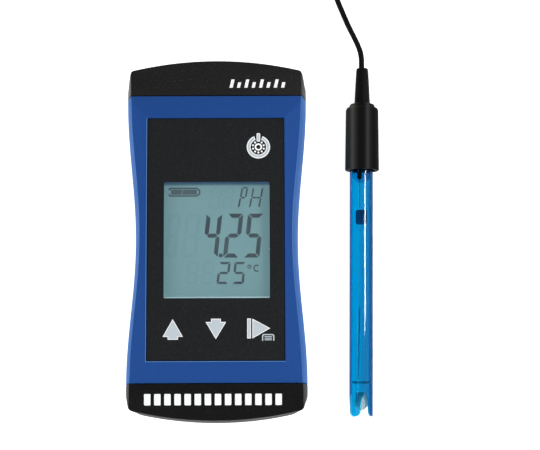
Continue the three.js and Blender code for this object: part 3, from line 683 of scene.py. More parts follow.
def make_plug():
    """The bayonet plug on the cord's end: boot, knurled body, coupling ring, insulator and pin."""
    boot = [(0, 0), (1.2, 0), (1.55, 0.5), (1.7, 2.4), (1.5, 2.7), (1.5, 3.1), (1.95, 3.4), (2.1, 5),
            (1.9, 5.3), (1.9, 5.7), (2.35, 6), (2.55, 7.6), (2.9, 8.2), (2.9, 9.7), (0, 9.7)]
    body = [(0, 10), (4.3, 10), (4.7, 10.4), (4.7, 11.2), (4.45, 11.5), (4.45, 12), (4.7, 12.3), (4.7, 17.6),
            (4.4, 18), (4.4, 18.5), (4, 18.8), (4, 31.5), (3.4, 31.5), (3.4, 22), (0, 22)]
    sleeve = [(0.95, 22.3), (2.3, 22.3), (2.3, 28), (0.95, 28)]
    pin = [(0, 22.3), (0.65, 22.3), (0.65, 30.4), (0.3, 31), (0, 31)]
    ring = [(4.4, 19.2), (5.4, 19.2), (5.4, 21.8), (6.85, 22.1), (7.25, 22.6), (7.25, 25), (7.25, 26.5),
            (7.25, 28), (7.25, 29.6), (7.25, 30.2), (6.7, 30.5), (6.7, 31.2), (7.25, 31.5), (7.25, 32.5),
            (6.75, 33.1), (6.4, 33.5), (5.75, 33.5), (5.75, 24.2), (4.4, 24.2)]
    parts = [
        turned("plug_boot_ribbed", boot, 0.2, "electrode", "rubber_black", "plug_boot", PLUG_AT),
        turned("plug_body_knurled", body, 0.12, "electrode", "nickel", "plug_body", PLUG_AT,
               144, (12.1, 17.9, 36, 0.22, 4.6)),
        turned("plug_insulator_sleeve", sleeve, 0.1, "electrode", "white_plastic", "plug_insulator", PLUG_AT),
        turned("plug_pin_turned", pin, 0.1, "electrode", "gold", "plug_pin", PLUG_AT, 32),
    ]
    coupling = tool(*lathe_data(fillet(ring, 0.15), 160, (22.4, 30, 32, 0.3, 7)), PLUG_AT)
    for side in (0, 180):
        turn = PLUG_AT @ rotated(side, "Y")
        hole = tool(*lathe_data([(0, 5), (1.15, 5), (1.15, 8), (0, 8)], 24),
                    turn @ moved(0, 26.4, 0) @ rotated(90, "Z"))
        cut(coupling, hole)
    finished(coupling, "plug_ring_knurled", "plug_ring", "nickel", "plug_ring")
    return [*parts, coupling]


PLUG = make_plug()


# ---- housing

HALF_LENGTH, END_RADIUS = 54, 106
WAIST_HALF, END_HALF, FLARE_END = 24.35, 27, 43
FRONT_Z, PARTING_Z, SEAM_Y, JOINT = 28, 14, 42.85, 0.3
WALL, LEAST_CORNER = 2.2, 0.4
FAR_X, FAR_Y, FAR_Z = 40, 56, 40  # outside the housing on every side
RECESS_X, RECESS_BOTTOM, RECESS_TOP, RECESS_FLOOR = 20.3, -36.65, 35.45, 27.1
SEAM_Z, CAP_END_Z, SIDE_SLOPE = 24.6, 23.2, 0.515
SOCKET = moved(0, 0, 14)
WINDOW = (-15.25, 15.85, -18.2, 16.25)
WINDOW_SEAT = (-16.8, 16.8, -19.5, 17.55)
# How far the outline lies inside its widest line, level by level: (z, sides, ends, corner radius).
OUTLINE_LEVELS = [
    (0, 6, 5.6, 5), (0.6, 4.2, 3.9, 5), (2.2, 2.3, 2.1, 5), (6, 0.9, 0.8, 5), (14, 0, 0, 5),
    (18, 0.35, 0.1, 4.2), (21, 0.8, 0.2, 2.4), (23, 1.2, 0.3, 1), (25.5, 1.8, 0.4, 0.6), (29, 1.95, 0.5, 0.5),
]


def half_width(y):
    share = min(abs(y) / FLARE_END, 1)
    return WAIST_HALF + (END_HALF - WAIST_HALF) * (1 - math.cos(math.pi * share)) / 2


def arch_height(x):
    return HALF_LENGTH - END_RADIUS + math.sqrt(END_RADIUS ** 2 - x ** 2)


def outline(side_inset, end_inset, corner, side_steps, corner_steps, arch_steps):
    """The housing's outline, drawn in from its widest line, counter-clockwise."""
    def side(y):
        return (half_width(y) - side_inset, y)

    def arch(x):
        return (x, arch_height(x) - end_inset)

    corner_x, corner_y = END_HALF, HALF_LENGTH
    for _ in range(4):
        corner_x = side(corner_y)[0]
        corner_y = arch(corner_x)[1]
    quarter = [side(i / side_steps * (corner_y - corner)) for i in range(side_steps)]
    start, end = side(corner_y - corner), arch(corner_x - corner)
    for i in range(corner_steps + 1):
        t = i / corner_steps
        weights = ((1 - t) ** 2, math.sqrt(2) * t * (1 - t), t ** 2)
        total = sum(weights)
        quarter.append(tuple(
            (weights[0] * a + weights[1] * b + weights[2] * c) / total
            for a, b, c in zip(start, (corner_x, corner_y), end)
        ))
    quarter += [arch((1 - i / arch_steps) * (corner_x - corner)) for i in range(1, arch_steps + 1)]
    backward = quarter[::-1]
    return [
        *quarter,
        *[(-x, y) for x, y in backward[1:]],
        *[(-x, -y) for x, y in quarter[1:]],
        *[(x, -y) for x, y in backward[1:-1]],
    ]


def smooth_levels(levels, per_span):
    """The outline levels with smooth ones between them."""
    padded = [levels[0], *levels, levels[-1]]
    result = []
    for a, b, c, d in zip(padded, padded[1:], padded[2:], padded[3:]):
        width = c[0] - b[0]
        for step in range(per_span):
            t = step / per_span
            h = (2 * t ** 3 - 3 * t ** 2 + 1, t ** 3 - 2 * t ** 2 + t,
                 3 * t ** 2 - 2 * t ** 3, t ** 3 - t ** 2)
            row = [b[0] + width * t]
            for p, q, r, s in zip(a[1:], b[1:], c[1:], d[1:]):
                slope_in, slope_out = (r - p) / (c[0] - a[0]), (s - q) / (d[0] - b[0])
                row.append(h[0] * q + h[1] * width * slope_in + h[2] * r + h[3] * width * slope_out)
            result.append(row)
    return [*result, levels[-1]]


def housing_body(wall=0, floor=-1, drop=0, ceiling=None, fine=True):
    """The body inside the outline and under the front face, drawn in by a wall."""
    levels = smooth_levels(OUTLINE_LEVELS, 3) if fine else OUTLINE_LEVELS
    steps = (22, 9, 12) if fine else (8, 4, 5)
    body = tool(*loft_data([
        (z, outline(side + wall, end + wall, max(corner - wall / 2, LEAST_CORNER), *steps))
        for z, side, end, corner in levels
    ]))
    top = FRONT_Z - drop
    edge = top - SIDE_SLOPE * (FAR_X - RECESS_X)
    across = [(-FAR_X, -2), (FAR_X, -2), (FAR_X, edge), (RECESS_X, top), (-RECESS_X, top), (-FAR_X, edge)]
    along = [
        (-FAR_Y, floor), (FAR_Y, floor), (FAR_Y, CAP_END_Z - drop), (SEAM_Y, SEAM_Z - drop),
        (RECESS_TOP, top), (RECESS_BOTTOM, top), (-SEAM_Y, SEAM_Z - drop), (-FAR_Y, CAP_END_Z - drop),
    ]
    within(body, prism(across, -FAR_Y, FAR_Y, rotated(90, "X")))
    turn = Matrix(((0, 0, 1, 0), (1, 0, 0, 0), (0, 1, 0, 0), (0, 0, 0, 1)))
    within(body, prism(along, -FAR_X, FAR_X, turn))
    if ceiling:
        within(body, box(-FAR_X, FAR_X, -FAR_Y, FAR_Y, -1, ceiling))
    return body


def copy_of(obj):
    return placed(obj.name, obj.data.copy())


KEYS = {"power": (12.6, 27), "up": (-12.5, -27.3), "down": (0, -27.3), "menu": (13.15, -27.3)}
KEY_HALF, KEY_CORNER = 4.85, 1.6
CASE_SCREWS = [(x, y) for y in (36.5, -36.5) for x in (-17, 17)]
SCREW_HOLE, DOOR_SCREW = 1.5, (0, 14.6)


def rounded_hole(x0, x1, y0, y1, corner, z0, z1):
    return prism(rounded(x0, x1, y0, y1, corner), z0, z1)


def grown(window, distance):
    return window[0] - distance, window[1] + distance, window[2] - distance, window[3] + distance


def part_of(outer, y0, y1, z0, z1):
    return within(copy_of(outer), box(-FAR_X, FAR_X, y0, y1, z0, z1))


def socket_rod(radius, y0, y1):
    return tool(*lathe_data([(0, y0), (radius, y0), (radius, y1), (0, y1)]), SOCKET)


def front_shell(outer, hollow):
    end = SEAM_Y - JOINT / 2
    shell = part_of(outer, -end, end, PARTING_Z + JOINT / 2, FAR_Z)
    cut(shell, rounded_hole(-RECESS_X, RECESS_X, RECESS_BOTTOM, RECESS_TOP, 0.45, RECESS_FLOOR, FAR_Z))
    round_edges(shell, 0.28, lambda at: at.z > PARTING_Z - 1 and not at.z < RECESS_FLOOR + 0.1 < at.z + 0.4)
    cut(shell, copy_of(hollow))
    for x, y in CASE_SCREWS:
        join(shell, rod_z(3.2, PARTING_Z + 0.15, 25.6, x, y))
        cut(shell, rod_z(SCREW_HOLE, PARTING_Z, 22.4, x, y))
    cut(shell, rounded_hole(*WINDOW_SEAT, 0.5, 26.2, 29))
    cut(shell, rounded_hole(*grown(WINDOW, 0.2), 0.5, 24, 29))
    for x, y in KEYS.values():
        cut(shell, prism(square(x, y, 5.1, 1.8), 24, 29))
    finished(shell, "front_shell_moulded", "meter", "housing_blue", "front_shell")


def rear_shell(outer, hollow):
    end = SEAM_Y - JOINT / 2
    shell = part_of(outer, -end, end, -1, PARTING_Z - JOINT / 2)
    cut(shell, rounded_hole(-12.5, 12.5, -39.5, 18.2, 2, -1, 1.5))
    for x, y in CASE_SCREWS:
        cut(shell, rod_z(3, -1, 2.8, x, y))
    round_edges(shell, 0.22)
    cut(shell, copy_of(hollow))
    for x, y in CASE_SCREWS:
        join(shell, cut(rod_z(3.5, 1, PARTING_Z - 0.15, x, y), rod_z(3, -1, 2.8, x, y)))
        cut(shell, rod_z(SCREW_HOLE, -1, PARTING_Z, x, y))
    tray = cut(box(-12.1, 12.1, -39.6, 11.4, 1.5, 14.7), box(-11, 11, -38.5, 10.3, 1, 13.6))
    join(shell, tray, rod_z(2.6, 1.5, 9, *DOOR_SCREW))
    cut(shell, box(-11, 11, -38.5, 10.3, -1, 3.5), rod_z(1.25, -1, 7.6, *DOOR_SCREW))
    finished(shell, "rear_shell_moulded", "meter", "housing_blue", "rear_shell")


def end_caps(outer, hollow):
    start = SEAM_Y + JOINT / 2
    bottom = part_of(outer, -60, -start, -1, FAR_Z)
    top = part_of(outer, start, 60, -1, FAR_Z)
    cut(top, socket_rod(8.2, 43.6, 60))
    round_edges(top, 0.35)
    round_edges(bottom, 0.35)
    cut(bottom, copy_of(hollow))
    cut(top, cut(copy_of(hollow), socket_rod(10, 40, 60)))
    bulkhead = within(socket_rod(9.9, 41.2, 43.6), box(-FAR_X, FAR_X, 40, 44, 0, 21.6))
    join(top, bulkhead)
    cut(top, socket_rod(4.95, 40, 45))
    finished(top, "top_cap_moulded", "meter", "cap_black", "top_cap")
    finished(bottom, "bottom_cap_moulded", "meter", "cap_black", "bottom_cap", material=BOTTOM_CAP_PAINTED_SHADE)


def battery_cover():
    """The cover in the back, with a row of grip grooves and its screw's seat."""
    door = soft_plate(-12.3, 12.3, -39.3, 18, 0, 1.3, 2, 0.2)
    door.data.transform(moved(0, 0, 1.3 * MM) @ Matrix.Scale(-1, 4, (0, 0, 1)))
    for index in range(5):
        y = 3 - 1.6 * index
        cut(door, rounded_hole(-6, 6, y - 0.35, y + 0.35, 0.34, -1, 0.35))
    cut(door, rod_z(2.2, -1, 1.2, *DOOR_SCREW), rod_z(1.3, -1, 3, *DOOR_SCREW))
    join(door, box(-10.7, 10.7, -38.2, 10, 1.1, 2.2))
    finished(door, "battery_cover_moulded", "meter", "housing_blue", "battery_door")


def make_housing():
    outer = housing_body()
    hollow = housing_body(WALL, WALL, 2.5, 25.4, fine=False)
    front_shell(outer, hollow)
    rear_shell(outer, hollow)
    end_caps(outer, hollow)
    battery_cover()
    bpy.data.objects.remove(outer)
    bpy.data.objects.remove(hollow)


make_housing()


# ---- keypad

FOIL_TOP, FOIL_CORNER = 27.8, 0.35
PRINT_THICKNESS = 0.03


def make_foil():
    foil = soft_plate(-20.1, 20.1, -36.45, 35.25, 27.2, FOIL_TOP, FOIL_CORNER, 0.12)
    cut(foil, rounded_hole(*WINDOW, 0.4, 26, 29))
    for x, y in KEYS.values():
        cut(foil, prism(square(x, y, KEY_HALF, KEY_CORNER), 26, 29))
    finished(foil, "keypad_film", "meter", "foil_black", "keypad_foil")


def make_keys():
    for name, (x, y) in KEYS.items():
        flange, head = square(x, y, 5.35, 1.2), square(x, y, KEY_HALF - 0.02, KEY_CORNER)
        levels = [(24.3, flange), (25.1, flange), (25.1, head), (FOIL_TOP, head)]
        piece(f"key_{name}_film", *loft_data(levels), f"key_{name}", "foil_black", f"key_{name}")


def make_window():
    pane = soft_plate(*grown(WINDOW_SEAT, -0.2), 26.3, 27, 0.5, 0.05)
    join(pane, soft_plate(*grown(WINDOW, -0.04), 26.9, 27.75, 0.4, 0.06))
    finished(pane, "window_pane_clear", "meter", "window_clear", "window_pane")


def sign(name, shapes, z, body, slot, material, slope=0):
    """Flat printed shapes in one thin layer on a face at height z, which may slope down past the seam.

    A shape is one outline, or a pair of equally long ones round a hole.
    """
    vertices, faces = [], []
    for shape in shapes:
        start = len(vertices)
        pair = not isinstance(shape[0][0], (int, float))
        outer, inner = shape if pair else (shape, None)
        count, top = len(outer), z + PRINT_THICKNESS
        layers = [(outer, z), (outer, top), (inner, top), (inner, z)] if pair else [(outer, z), (outer, top)]
        vertices += [(x, y, height + slope * (abs(y) - SEAM_Y)) for line, height in layers for x, y in line]
        if pair:
            faces += ring_faces(len(layers), count, start)
        else:
            faces += [tuple(start + corner for corner in face) for face in capped_faces(2, count)]
    return piece(name, vertices, faces, body, slot, material=material)


def inset(points, distance):
    """A counter-clockwise outline drawn in by a distance."""
    result = []
    for before, here, after in zip(points[-1:] + points[:-1], points, points[1:] + points[:1]):
        a = (Vector(here) - Vector(before)).normalized()
        b = (Vector(after) - Vector(here)).normalized()
        normal = Vector((-a.y - b.y, a.x + b.x)).normalized()
        reach = distance / max(normal.dot(Vector((-a.y, a.x))), 0.35)
        result.append(tuple(Vector(here) + normal * reach))
    return result


def arc_band(x, y, outer, inner, start, end, steps=40, squeeze=1):
    """Part of a ring between two angles in degrees."""
    turns = [math.radians(start + (end - start) * i / steps) for i in range(steps + 1)]
    outside = [(x + outer * math.cos(t), y + squeeze * outer * math.sin(t)) for t in turns]
    inside = [(x + inner * math.cos(t), y + squeeze * inner * math.sin(t)) for t in reversed(turns)]
    return outside + inside


POWER_CENTRE = (12.6, 26.64)


def power_sign():
    """An open ring with a bar in its gap, round a small ring of dots."""
    x, y = POWER_CENTRE
    shapes = [arc_band(x, y, 3.45, 2.3, 111, 429, 60), (circle(x, y, 1.1), circle(x, y, 0.63))]
    for step in range(1, 10):
        turn = math.radians(90 + 36 * step)
        shapes.append(circle(x + 1.66 * math.cos(turn), y + 1.66 * math.sin(turn), 0.3, 14))
    shapes.append(rounded(x - 0.53, x + 0.53, 28.26, 30.79, 0.3, 5))
    return shapes


def menu_sign():
    """A bar and a triangle."""
    return [
        [(9.2, -30.04), (10.3, -30.04), (10.3, -24.2), (9.2, -24.2)],
        [(10.72, -30.05), (15.93, -27.09), (10.72, -24.29)],
    ]


def memory_sign():
    """A small bracket over three short lines."""
    bracket = [(13.51, -30.74), (13.51, -29.3), (13.66, -28.92), (14.02, -28.77), (16.6, -28.77),
               (16.96, -28.92), (17.11, -29.3), (17.11, -30.74), (16.75, -30.74), (16.75, -29.4),
               (16.62, -29.16), (16.4, -29.08), (14.22, -29.08), (14.0, -29.16), (13.87, -29.4),
               (13.87, -30.74)]
    lines = [rounded(14.24, 16.38, y - 0.13, y + 0.13, 0.1, 3) for y in (-29.5, -29.98, -30.46)]
    return [bracket, *lines]


def two_tone(body, shapes, faces=None):
    """A key's print with white rims round a light grey face."""
    faces = faces or [inset(shape, 0.2) for shape in shapes]
    sign(body + "_sign", shapes, FOIL_TOP, body, "foil_black", PRINT_WHITE_PAINTED_GLOW)
    sign(body + "_sign_face", faces, FOIL_TOP + PRINT_THICKNESS, body, "foil_black", PRINT_LIGHT)


def make_signs():
    x, y = POWER_CENTRE
    faces = [arc_band(x, y, 3.2, 2.5, 114, 426, 60), rounded(x - 0.33, x + 0.33, 28.46, 30.59, 0.15, 3)]
    two_tone("key_power", power_sign(), faces)
    up = [(-12.53, -24.32), (-15.45, -29.5), (-13.99, -29.5), (-13.99, -30.34), (-10.96, -30.34),
          (-10.96, -29.5), (-9.54, -29.5)]
    two_tone("key_up", [up])
    down = [(0.05, -30.24), (3.05, -25.2), (1.53, -25.2), (1.53, -24.25), (-1.36, -24.25), (-1.36, -25.2),
            (-2.93, -25.2)]
    two_tone("key_down", [down])
    two_tone("key_menu", menu_sign())
    sign("key_menu_memory_sign", memory_sign(), FOIL_TOP, "key_menu", "foil_black", PRINT_LIGHT)


def make_rim_painted_glint():
    """A painted highlight: a lighter line along the recess's left and lower edges, where the rounded rim
    catches the light.
    """
    x, y, width = RECESS_X, RECESS_BOTTOM, 0.2
    rim = [(-x - width, y - width), (x, y - width), (x, y), (-x, y), (-x, RECESS_TOP),
           (-x - width, RECESS_TOP)]
    sign("front_shell_rim_painted_glint", [rim], FRONT_Z - 0.02, "meter", "housing_blue", RIM_PAINTED_GLINT)


make_foil()
make_rim_painted_glint()
make_keys()
make_window()
make_signs()


# ---- display

DISPLAY_TOP = 24.8
DISPLAY_SHIFT = 0.12  # how far right of its drawn place the whole reading sits
# Bottom, top, stroke width and slant of the three rows of characters.
BIG_ROW, GHOST_BIG_ROW = (-5.33, 6.52, 1.22, 0.109), (-5.31, 6.6, 1.15, 0.109)
SMALL_ROW, NAME_ROW = (-13.4, -7.57, 0.68, 0.12), (8.95, 14.88, 0.48, 0.2)
# A seven-segment character: the ends of its strokes as (column, row), lettered clockwise from the top, with
# the middle one as g, and the strokes of each character.
STROKES = {
    "a": ((0, 2), (1, 2)), "b": ((1, 1), (1, 2)), "c": ((1, 0), (1, 1)), "d": ((0, 0), (1, 0)),
    "e": ((0, 0), (0, 1)), "f": ((0, 1), (0, 2)), "g": ((0, 1), (1, 1)),
}
CHARACTERS = {"2": "abged", "4": "fbgc", "5": "afgcd", "8": "afbgecd", "H": "fbec", "P": "afbge"}


def segments(character, left, right, bottom, top, width, slant, gap=0.14):
    """Outlines of one seven-segment character. Left and right are its strokes' middles at mid height."""
    middle = (bottom + top) / 2

    def at(x, y):
        return (x + slant * (y - middle), y)

    shapes = []
    for stroke in CHARACTERS[character]:
        (column0, row0), (column1, row1) = STROKES[stroke]
        xs, ys = (left, right), (bottom, middle, top)
        a, b = Vector((xs[column0], ys[row0])), Vector((xs[column1], ys[row1]))
        along = (b - a).normalized()
        side = Vector((-along.y, along.x)) * width / 2
        a, b = a + along * gap, b - along * gap
        reach = along * width / 2
        lines = []
        for point, way, row in ((a, 1, row0), (b, -1, row1)):
            if row == 1:
                lines.append((point + side + reach * way, point, point - side + reach * way))
                continue
            inward = 1 if (row == 0 if row0 == row1 else column0 == 1) else -1
            inner = point + side * inward + reach * way
            outer = point - side * inward - reach * way * 0.8
            lines.append((inner, outer) if inward == 1 else (outer, inner))
        start, end = lines
        shapes.append([at(p.x, p.y) for p in (*start, *reversed(end))])
    return shapes


def reading():
    """4.25 over 25 degrees, under the two letters of the quantity."""
    shapes = []
    for character, left, right in (("4", -2.93, 0.44), ("2", 3.23, 6.67), ("5", 9.24, 12.72)):
        shapes += segments(character, left, right, *BIG_ROW)
    shapes.append(circle(1.27, -5.26, 0.6, 20))
    for character, left, right in (("2", 0.73, 3.5), ("5", 5.33, 8.02)):
        shapes += segments(character, left, right, *SMALL_ROW, 0.1)
    for character, left, right in (("P", 7.12, 8.6), ("H", 10.4, 13.1)):
        shapes += segments(character, left, right, *NAME_ROW)
    shapes += [rounded(x, x + 1.1, 11.67, 12.15, 0.12, 3) for x in (10.6, 11.8)]
    shapes.append((circle(9.7, -8.62, 0.6, 24), circle(9.7, -8.62, 0.31, 24)))
    shapes.append(arc_band(11.85, -9.1, 0.98, 0.61, 50, 310, 30, 1.12))
    return shapes


def battery_sign():
    """The outline of the battery symbol, open at its left end."""
    x0, x1, y0, y1, line = -14.1, -4.75, 12.25, 14.97, 0.43
    outside = [(x0, y0 + 0.3), (x0 + 0.3, y0), (x1 - 0.9, y0), (x1 - 0.5, y0 + 0.45), (x1, y0 + 0.6),
               (x1, y1 - 0.6), (x1 - 0.5, y1 - 0.45), (x1 - 0.9, y1), (x0 + 0.3, y1), (x0, y1 - 0.3),
               (x0, y1 - 0.75)]
    inside = [(x0 + line, y1 - 0.85), (x0 + line + 0.1, y1 - line), (x1 - 1.05, y1 - line),
              (x1 - 0.75, y1 - 0.8), (x1 - line, y1 - 0.95), (x1 - line, y0 + 0.95), (x1 - 0.75, y0 + 0.8),
              (x1 - 1.05, y0 + line), (x0 + line + 0.1, y0 + line), (x0 + line, y0 + 0.85),
              (x0, y0 + 0.75)]
    return [outside + inside]


def make_display():
    """The reading, the battery block and the faint unlit segments, in their own thin layers, and a glowing
    strip under the window's lower edge as a painted highlight.
    """
    block = [
        [(-13.4, 13), (-13.2, 12.84), (-10.35, 12.84), (-9.95, 14.38), (-13.2, 14.38), (-13.4, 14.2)],
        [(-10.2, 12.84), (-5.95, 12.84), (-5.75, 13), (-5.75, 14.2), (-5.95, 14.38), (-9.8, 14.38)],
    ]
    ghosts = []
    for left in (-9.1, -15.0):
        ghosts += segments("8", max(left, -14.2), left + 3.4, *GHOST_BIG_ROW)
    for left in (-3.9, -8.5):
        ghosts += segments("8", left, left + 2.8, *SMALL_ROW, 0.1)
    for left in (-1.6, 2.2):
        ghosts += segments("8", left, left + 2.6, *NAME_ROW)
    for name, shapes, lift, material in (
        ("display_reading", [*reading(), *battery_sign()], 0.01, SEGMENT_DARK),
        ("display_battery_block", block, 0.01, SEGMENT_GREY),
        ("display_ghost_segments", ghosts, -0.02, SEGMENT_GHOST),
    ):
        printed = sign(name, shapes, DISPLAY_TOP + lift, "meter", "display_glass", material)
        printed.data.transform(moved(DISPLAY_SHIFT * MM, 0, 0))
    # A glowing pale strip along the window's lower edge: a painted highlight.
    edge = soft_plate(-15.15, 15.75, -18.15, -17.65, 24.85, 26.2, 0.15, 0.1)
    finished(edge, "display_lower_painted_glint", "meter", "white_plastic", material=EDGE_PAINTED_GLINT)


make_display()


# ---- electrode

ELECTRODE_AT = (44.07, 23.42, 5.06)
ELECTRODE_TURN = Euler((math.radians(1.08), 0, math.radians(-0.61)), "XYZ")
ELECTRODE = moved(*ELECTRODE_AT) @ ELECTRODE_TURN.to_matrix().to_4x4()
SLOT_TURNS = (18, 162, 270)


def widened(shift, share):
    """The head and its guard are a little wider across than they are tall, and lean to the right."""
    return moved(shift, 0, 0) @ Matrix.Diagonal((share, 1, 1, 1))


def guard_slot(turn):
    """A pointed arch through the shaft's end, which leaves rounded prongs beside it."""
    half = [(0, -68.2), (0.28, -68.35), (0.55, -68.75), (0.85, -69.7), (1.15, -71.2), (1.32, -72.6),
            (1.42, -73.8), (1.6, -74.4), (1.9, -74.85), (2.3, -75.1), (2.7, -75.25), (2.9, -76.5)]
    points = half + [(-x, y) for x, y in half[:0:-1]]
    place = ELECTRODE @ rotated(turn, "Y")
    return prism(points, 0, 5, place)


def make_electrode():
    """Shaft, resin plug, the parts seen through the shaft, bulb, head and kink guard."""
    def part(name, profile, rounding, slot, node, place=ELECTRODE, **settings):
        turned(name, profile, rounding, "electrode", slot, node, place, **settings)

    tube = fillet([(2.85, -75.2), (3.58, -75.2), (3.58, 7), (2.85, 7)], 0.3)
    shaft = tool(*lathe_data(tube, 128), ELECTRODE)
    cut(shaft, *[guard_slot(turn) for turn in SLOT_TURNS])
    finished(shaft, "electrode_shaft_clear", "electrode", "shaft_blue", "electrode_shaft", sharp=45)
    dome = [(0, -3.8), (0.5, -3.76), (1, -3.62), (1.5, -3.38), (2, -3.02), (2.4, -2.58), (2.68, -2.1),
            (2.82, -1.6), (2.82, 6.5), (0, 6.5)]
    resin = tool(*lathe_data(dome, 96), ELECTRODE)
    finished(resin, "shaft_resin_plug", "electrode", "shaft_blue", "shaft_plug", material=RESIN_BLUE)
    lead = [(0, -11.9), (0.045, -11.9), (0.06, -2.5), (0.6, -2.2), (0.6, 6.4), (0, 6.4)]
    part("inner_lead_insulated", lead, 0.1, "rubber_black", "inner_lead",
         ELECTRODE @ moved(-0.5, 0, 0), segments=32)
    part("inner_stem_tube", [(1.25, -67.6), (1.75, -67.6), (1.75, -16.9), (1.25, -16.9)], 0.1,
         "clear_glass", "inner_stem", segments=96, material=STEM_GLASS)
    part("inner_seal_collar", [(0, -16.6), (1.74, -16.6), (1.74, -12.3), (0, -12.3)], 0.5,
         "rubber_black", "inner_seal", material=SEAL_GREY)
    part("diaphragm_ring_porous", [(2.4, -65.1), (2.82, -65.1), (2.82, -64.6), (2.4, -64.6)], 0.1,
         "white_plastic", "diaphragm_ring", material=RING_BLUE)
    part("reference_wire_drawn", [(0, -63.9), (0.22, -63.9), (0.22, -42.2), (0, -42.2)], 0.02,
         "steel", "reference_wire",
         ELECTRODE @ moved(0.15, 0, 2.3) @ rotated(-1, "Z"),
         segments=24, material=WIRE_GREY_PAINTED_LIGHT)
    bulb = [(0, -73.4), (0.9, -73.15), (1.7, -72.4), (2.1, -71.2), (2.05, -70.1), (1.75, -68.9),
            (1.75, -67.9), (1.4, -67.9), (1.4, -68.9), (1.7, -70.1), (1.75, -71.2), (1.4, -72.2),
            (0.8, -72.75), (0, -72.95)]
    part("glass_bulb_blown", bulb, 0.5, "clear_glass", "glass_bulb", material=BULB_GLASS, sharp=60)
    head = [(3.75, 0), (4.82, 0), (4.97, 0.25), (4.97, 0.8), (4.88, 10), (4.78, 18.7), (4.45, 19.45),
            (3.85, 19.6), (3.72, 19.85), (3.68, 20.3), (3.3, 20.68), (2.6, 20.8), (2.6, 16.8), (0, 16.8),
            (0, 7.4), (3.75, 7.4)]
    part("electrode_head_moulded", head, 0.25, "cap_black", "electrode_head",
         ELECTRODE @ widened(0.2, 1.049), segments=96, material=HEAD_BLACK_PAINTED_SHEEN)
    boot = [(0, 17.1), (2.2, 17.1), (2.2, 20.8), (1.97, 26), (1.7, 31.3), (1.66, 31.7), (1.42, 31.95),
            (0.9, 32), (0, 32)]
    part("electrode_boot_moulded", boot, 0.2, "rubber_black", "electrode_boot",
         ELECTRODE @ widened(0.23, 1.1))


make_electrode()


# ---- socket and screws

def make_socket():
    barrel = [(2.6, 37.5), (4.75, 37.5), (4.75, 44), (4.8, 44), (4.8, 53.3), (4.05, 53.3), (4.05, 44.8),
              (2.6, 44.8)]
    shell = tool(*lathe_data(fillet(barrel, 0.12), 96), SOCKET)
    for side in (-1, 1):
        lug = tool(*lathe_data(fillet([(0, 4.4), (1, 4.4), (1, 5.5), (0, 5.5)], 0.15), 32),
                   SOCKET @ moved(0, 50.8, 0) @ rotated(90 * side, "Z"))
        join(shell, lug)
    flange = tool(*lathe_data([(4.4, 43.75), (6.8, 43.75), (6.8, 45.3), (4.4, 45.3)], 6), SOCKET)
    join(shell, flange)
    finished(shell, "socket_shell_turned", "meter", "nickel", "socket_shell")
    turned("socket_insulator_sleeve", [(1.35, 37), (2.4, 37), (2.4, 49.6), (1.35, 49.6)], 0.1,
           "meter", "white_plastic", "socket_insulator", SOCKET)


make_socket()


# ---- marks on the caps

def cap_mark(name, shapes):
    """Plain white shapes printed on a cap's sloping front face."""
    slope = (CAP_END_Z - SEAM_Z) / (FAR_Y - SEAM_Y)
    sign(name, shapes, SEAM_Z, "meter", "cap_black", PRINT_WHITE_PAINTED_GLOW, slope)


def make_marks():
    """A row of bars on the bottom cap and a row of slanted ticks on the top cap."""
    bar_pitch, tick_pitch, tick_width, lean, foot = 2.95, 2.2, 0.95, 0.22, 45.3
    bars = [
        rounded(-21 + index * bar_pitch, -21 + index * bar_pitch + 1.9, -49.2, -45.9, 0.25, 3)
        for index in range(14)
    ]
    cap_mark("bottom_cap_scale", bars)
    ticks = []
    for index in range(8):
        x = 4 + index * tick_pitch
        height = 2.6 if index % 2 == 0 else 1.7
        ticks.append([(x, foot), (x + tick_width, foot), (x + tick_width + lean * height, foot + height),
                      (x + lean * height, foot + height)])
    cap_mark("top_cap_scale", ticks)


make_marks()


# ---- carried-over nodes

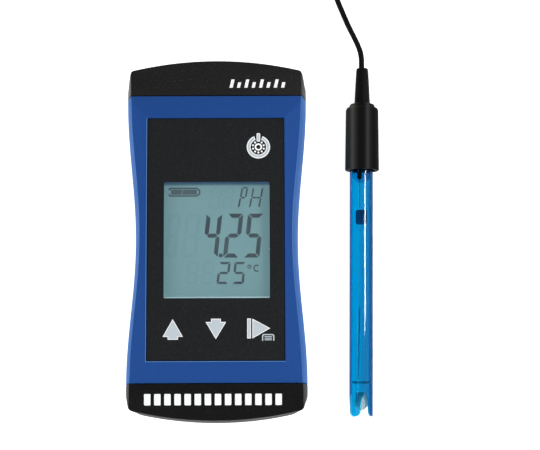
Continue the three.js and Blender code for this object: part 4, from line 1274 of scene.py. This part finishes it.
SLOT_OF_NODE = {part["node"]: part["material_slot"] for part in frame["record"]["subparts"]}
for node_name, node in NODES.items():
    node.data.materials.clear()
    node.data.materials.append(MATERIALS[SLOT_OF_NODE[node_name]])
    node.data.shade_smooth()
    node.data.set_sharp_from_angle(angle=math.radians(35))


# ---- stage and light

FLOOR_DROP = 0.0002  # metres, so that the floor stays under what rests on it


def make_floor():
    shader = Shader(
        "stage_white", (0.9, 0.9, 0.9, 1), 0.9, 0, Emission_Color=(1, 1, 1, 1), Emission_Strength=0.88)
    mesh = bpy.data.meshes.new("stage_floor")
    half = 4  # metres
    corners = [(-half, -half, 0), (half, -half, 0), (half, half, 0), (-half, half, 0)]
    mesh.from_pydata(corners, [], [(0, 1, 2, 3)])
    floor = placed("stage_floor", mesh)
    floor.location.z = -FLOOR_DROP
    mesh.materials.append(shader.material)


def make_light(name, at, aim, width, length, power):
    data = bpy.data.lights.new(name, "AREA")
    data.shape = "RECTANGLE"
    data.size, data.size_y = width * MM, length * MM
    data.energy = power
    light = placed(name, data)
    light.location = Vector(at) * MM
    light.rotation_euler = (Vector(aim) - Vector(at)).to_track_quat("-Z", "Y").to_euler()


def make_world():
    """White at the horizon and dimmer overhead."""
    world = bpy.data.worlds.new("studio")
    world.use_nodes = True
    tree = world.node_tree
    split = tree.nodes.new("ShaderNodeSeparateXYZ")
    ramp = tree.nodes.new("ShaderNodeValToRGB")
    direction = tree.nodes.new("ShaderNodeTexCoord").outputs["Generated"]
    elements = ramp.color_ramp.elements
    elements.new(0.45)
    for element, (height, level) in zip(elements, ((0.18, 1), (0.45, 0.3), (1, 0.16))):
        element.position = height
        element.color = (level, level, level, 1)
    tree.links.new(direction, split.inputs["Vector"])
    tree.links.new(split.outputs["Z"], ramp.inputs["Fac"])
    tree.links.new(ramp.outputs["Color"], tree.nodes["Background"].inputs["Color"])
    bpy.context.scene.world = world


def make_stage():
    make_floor()
    make_light("soft_left", (-420, -180, 420), (0, 0, 0), 300, 400, 1.3)
    make_light("soft_front", (0, -520, 420), (0, 0, 0), 400, 250, 0.4)
    make_light("shaft_strip", (331, 83, 415), (44, 20, 5), 130, 130, 1.1)
    make_world()
    bpy.context.scene.view_settings.view_transform = "Standard"


make_stage()
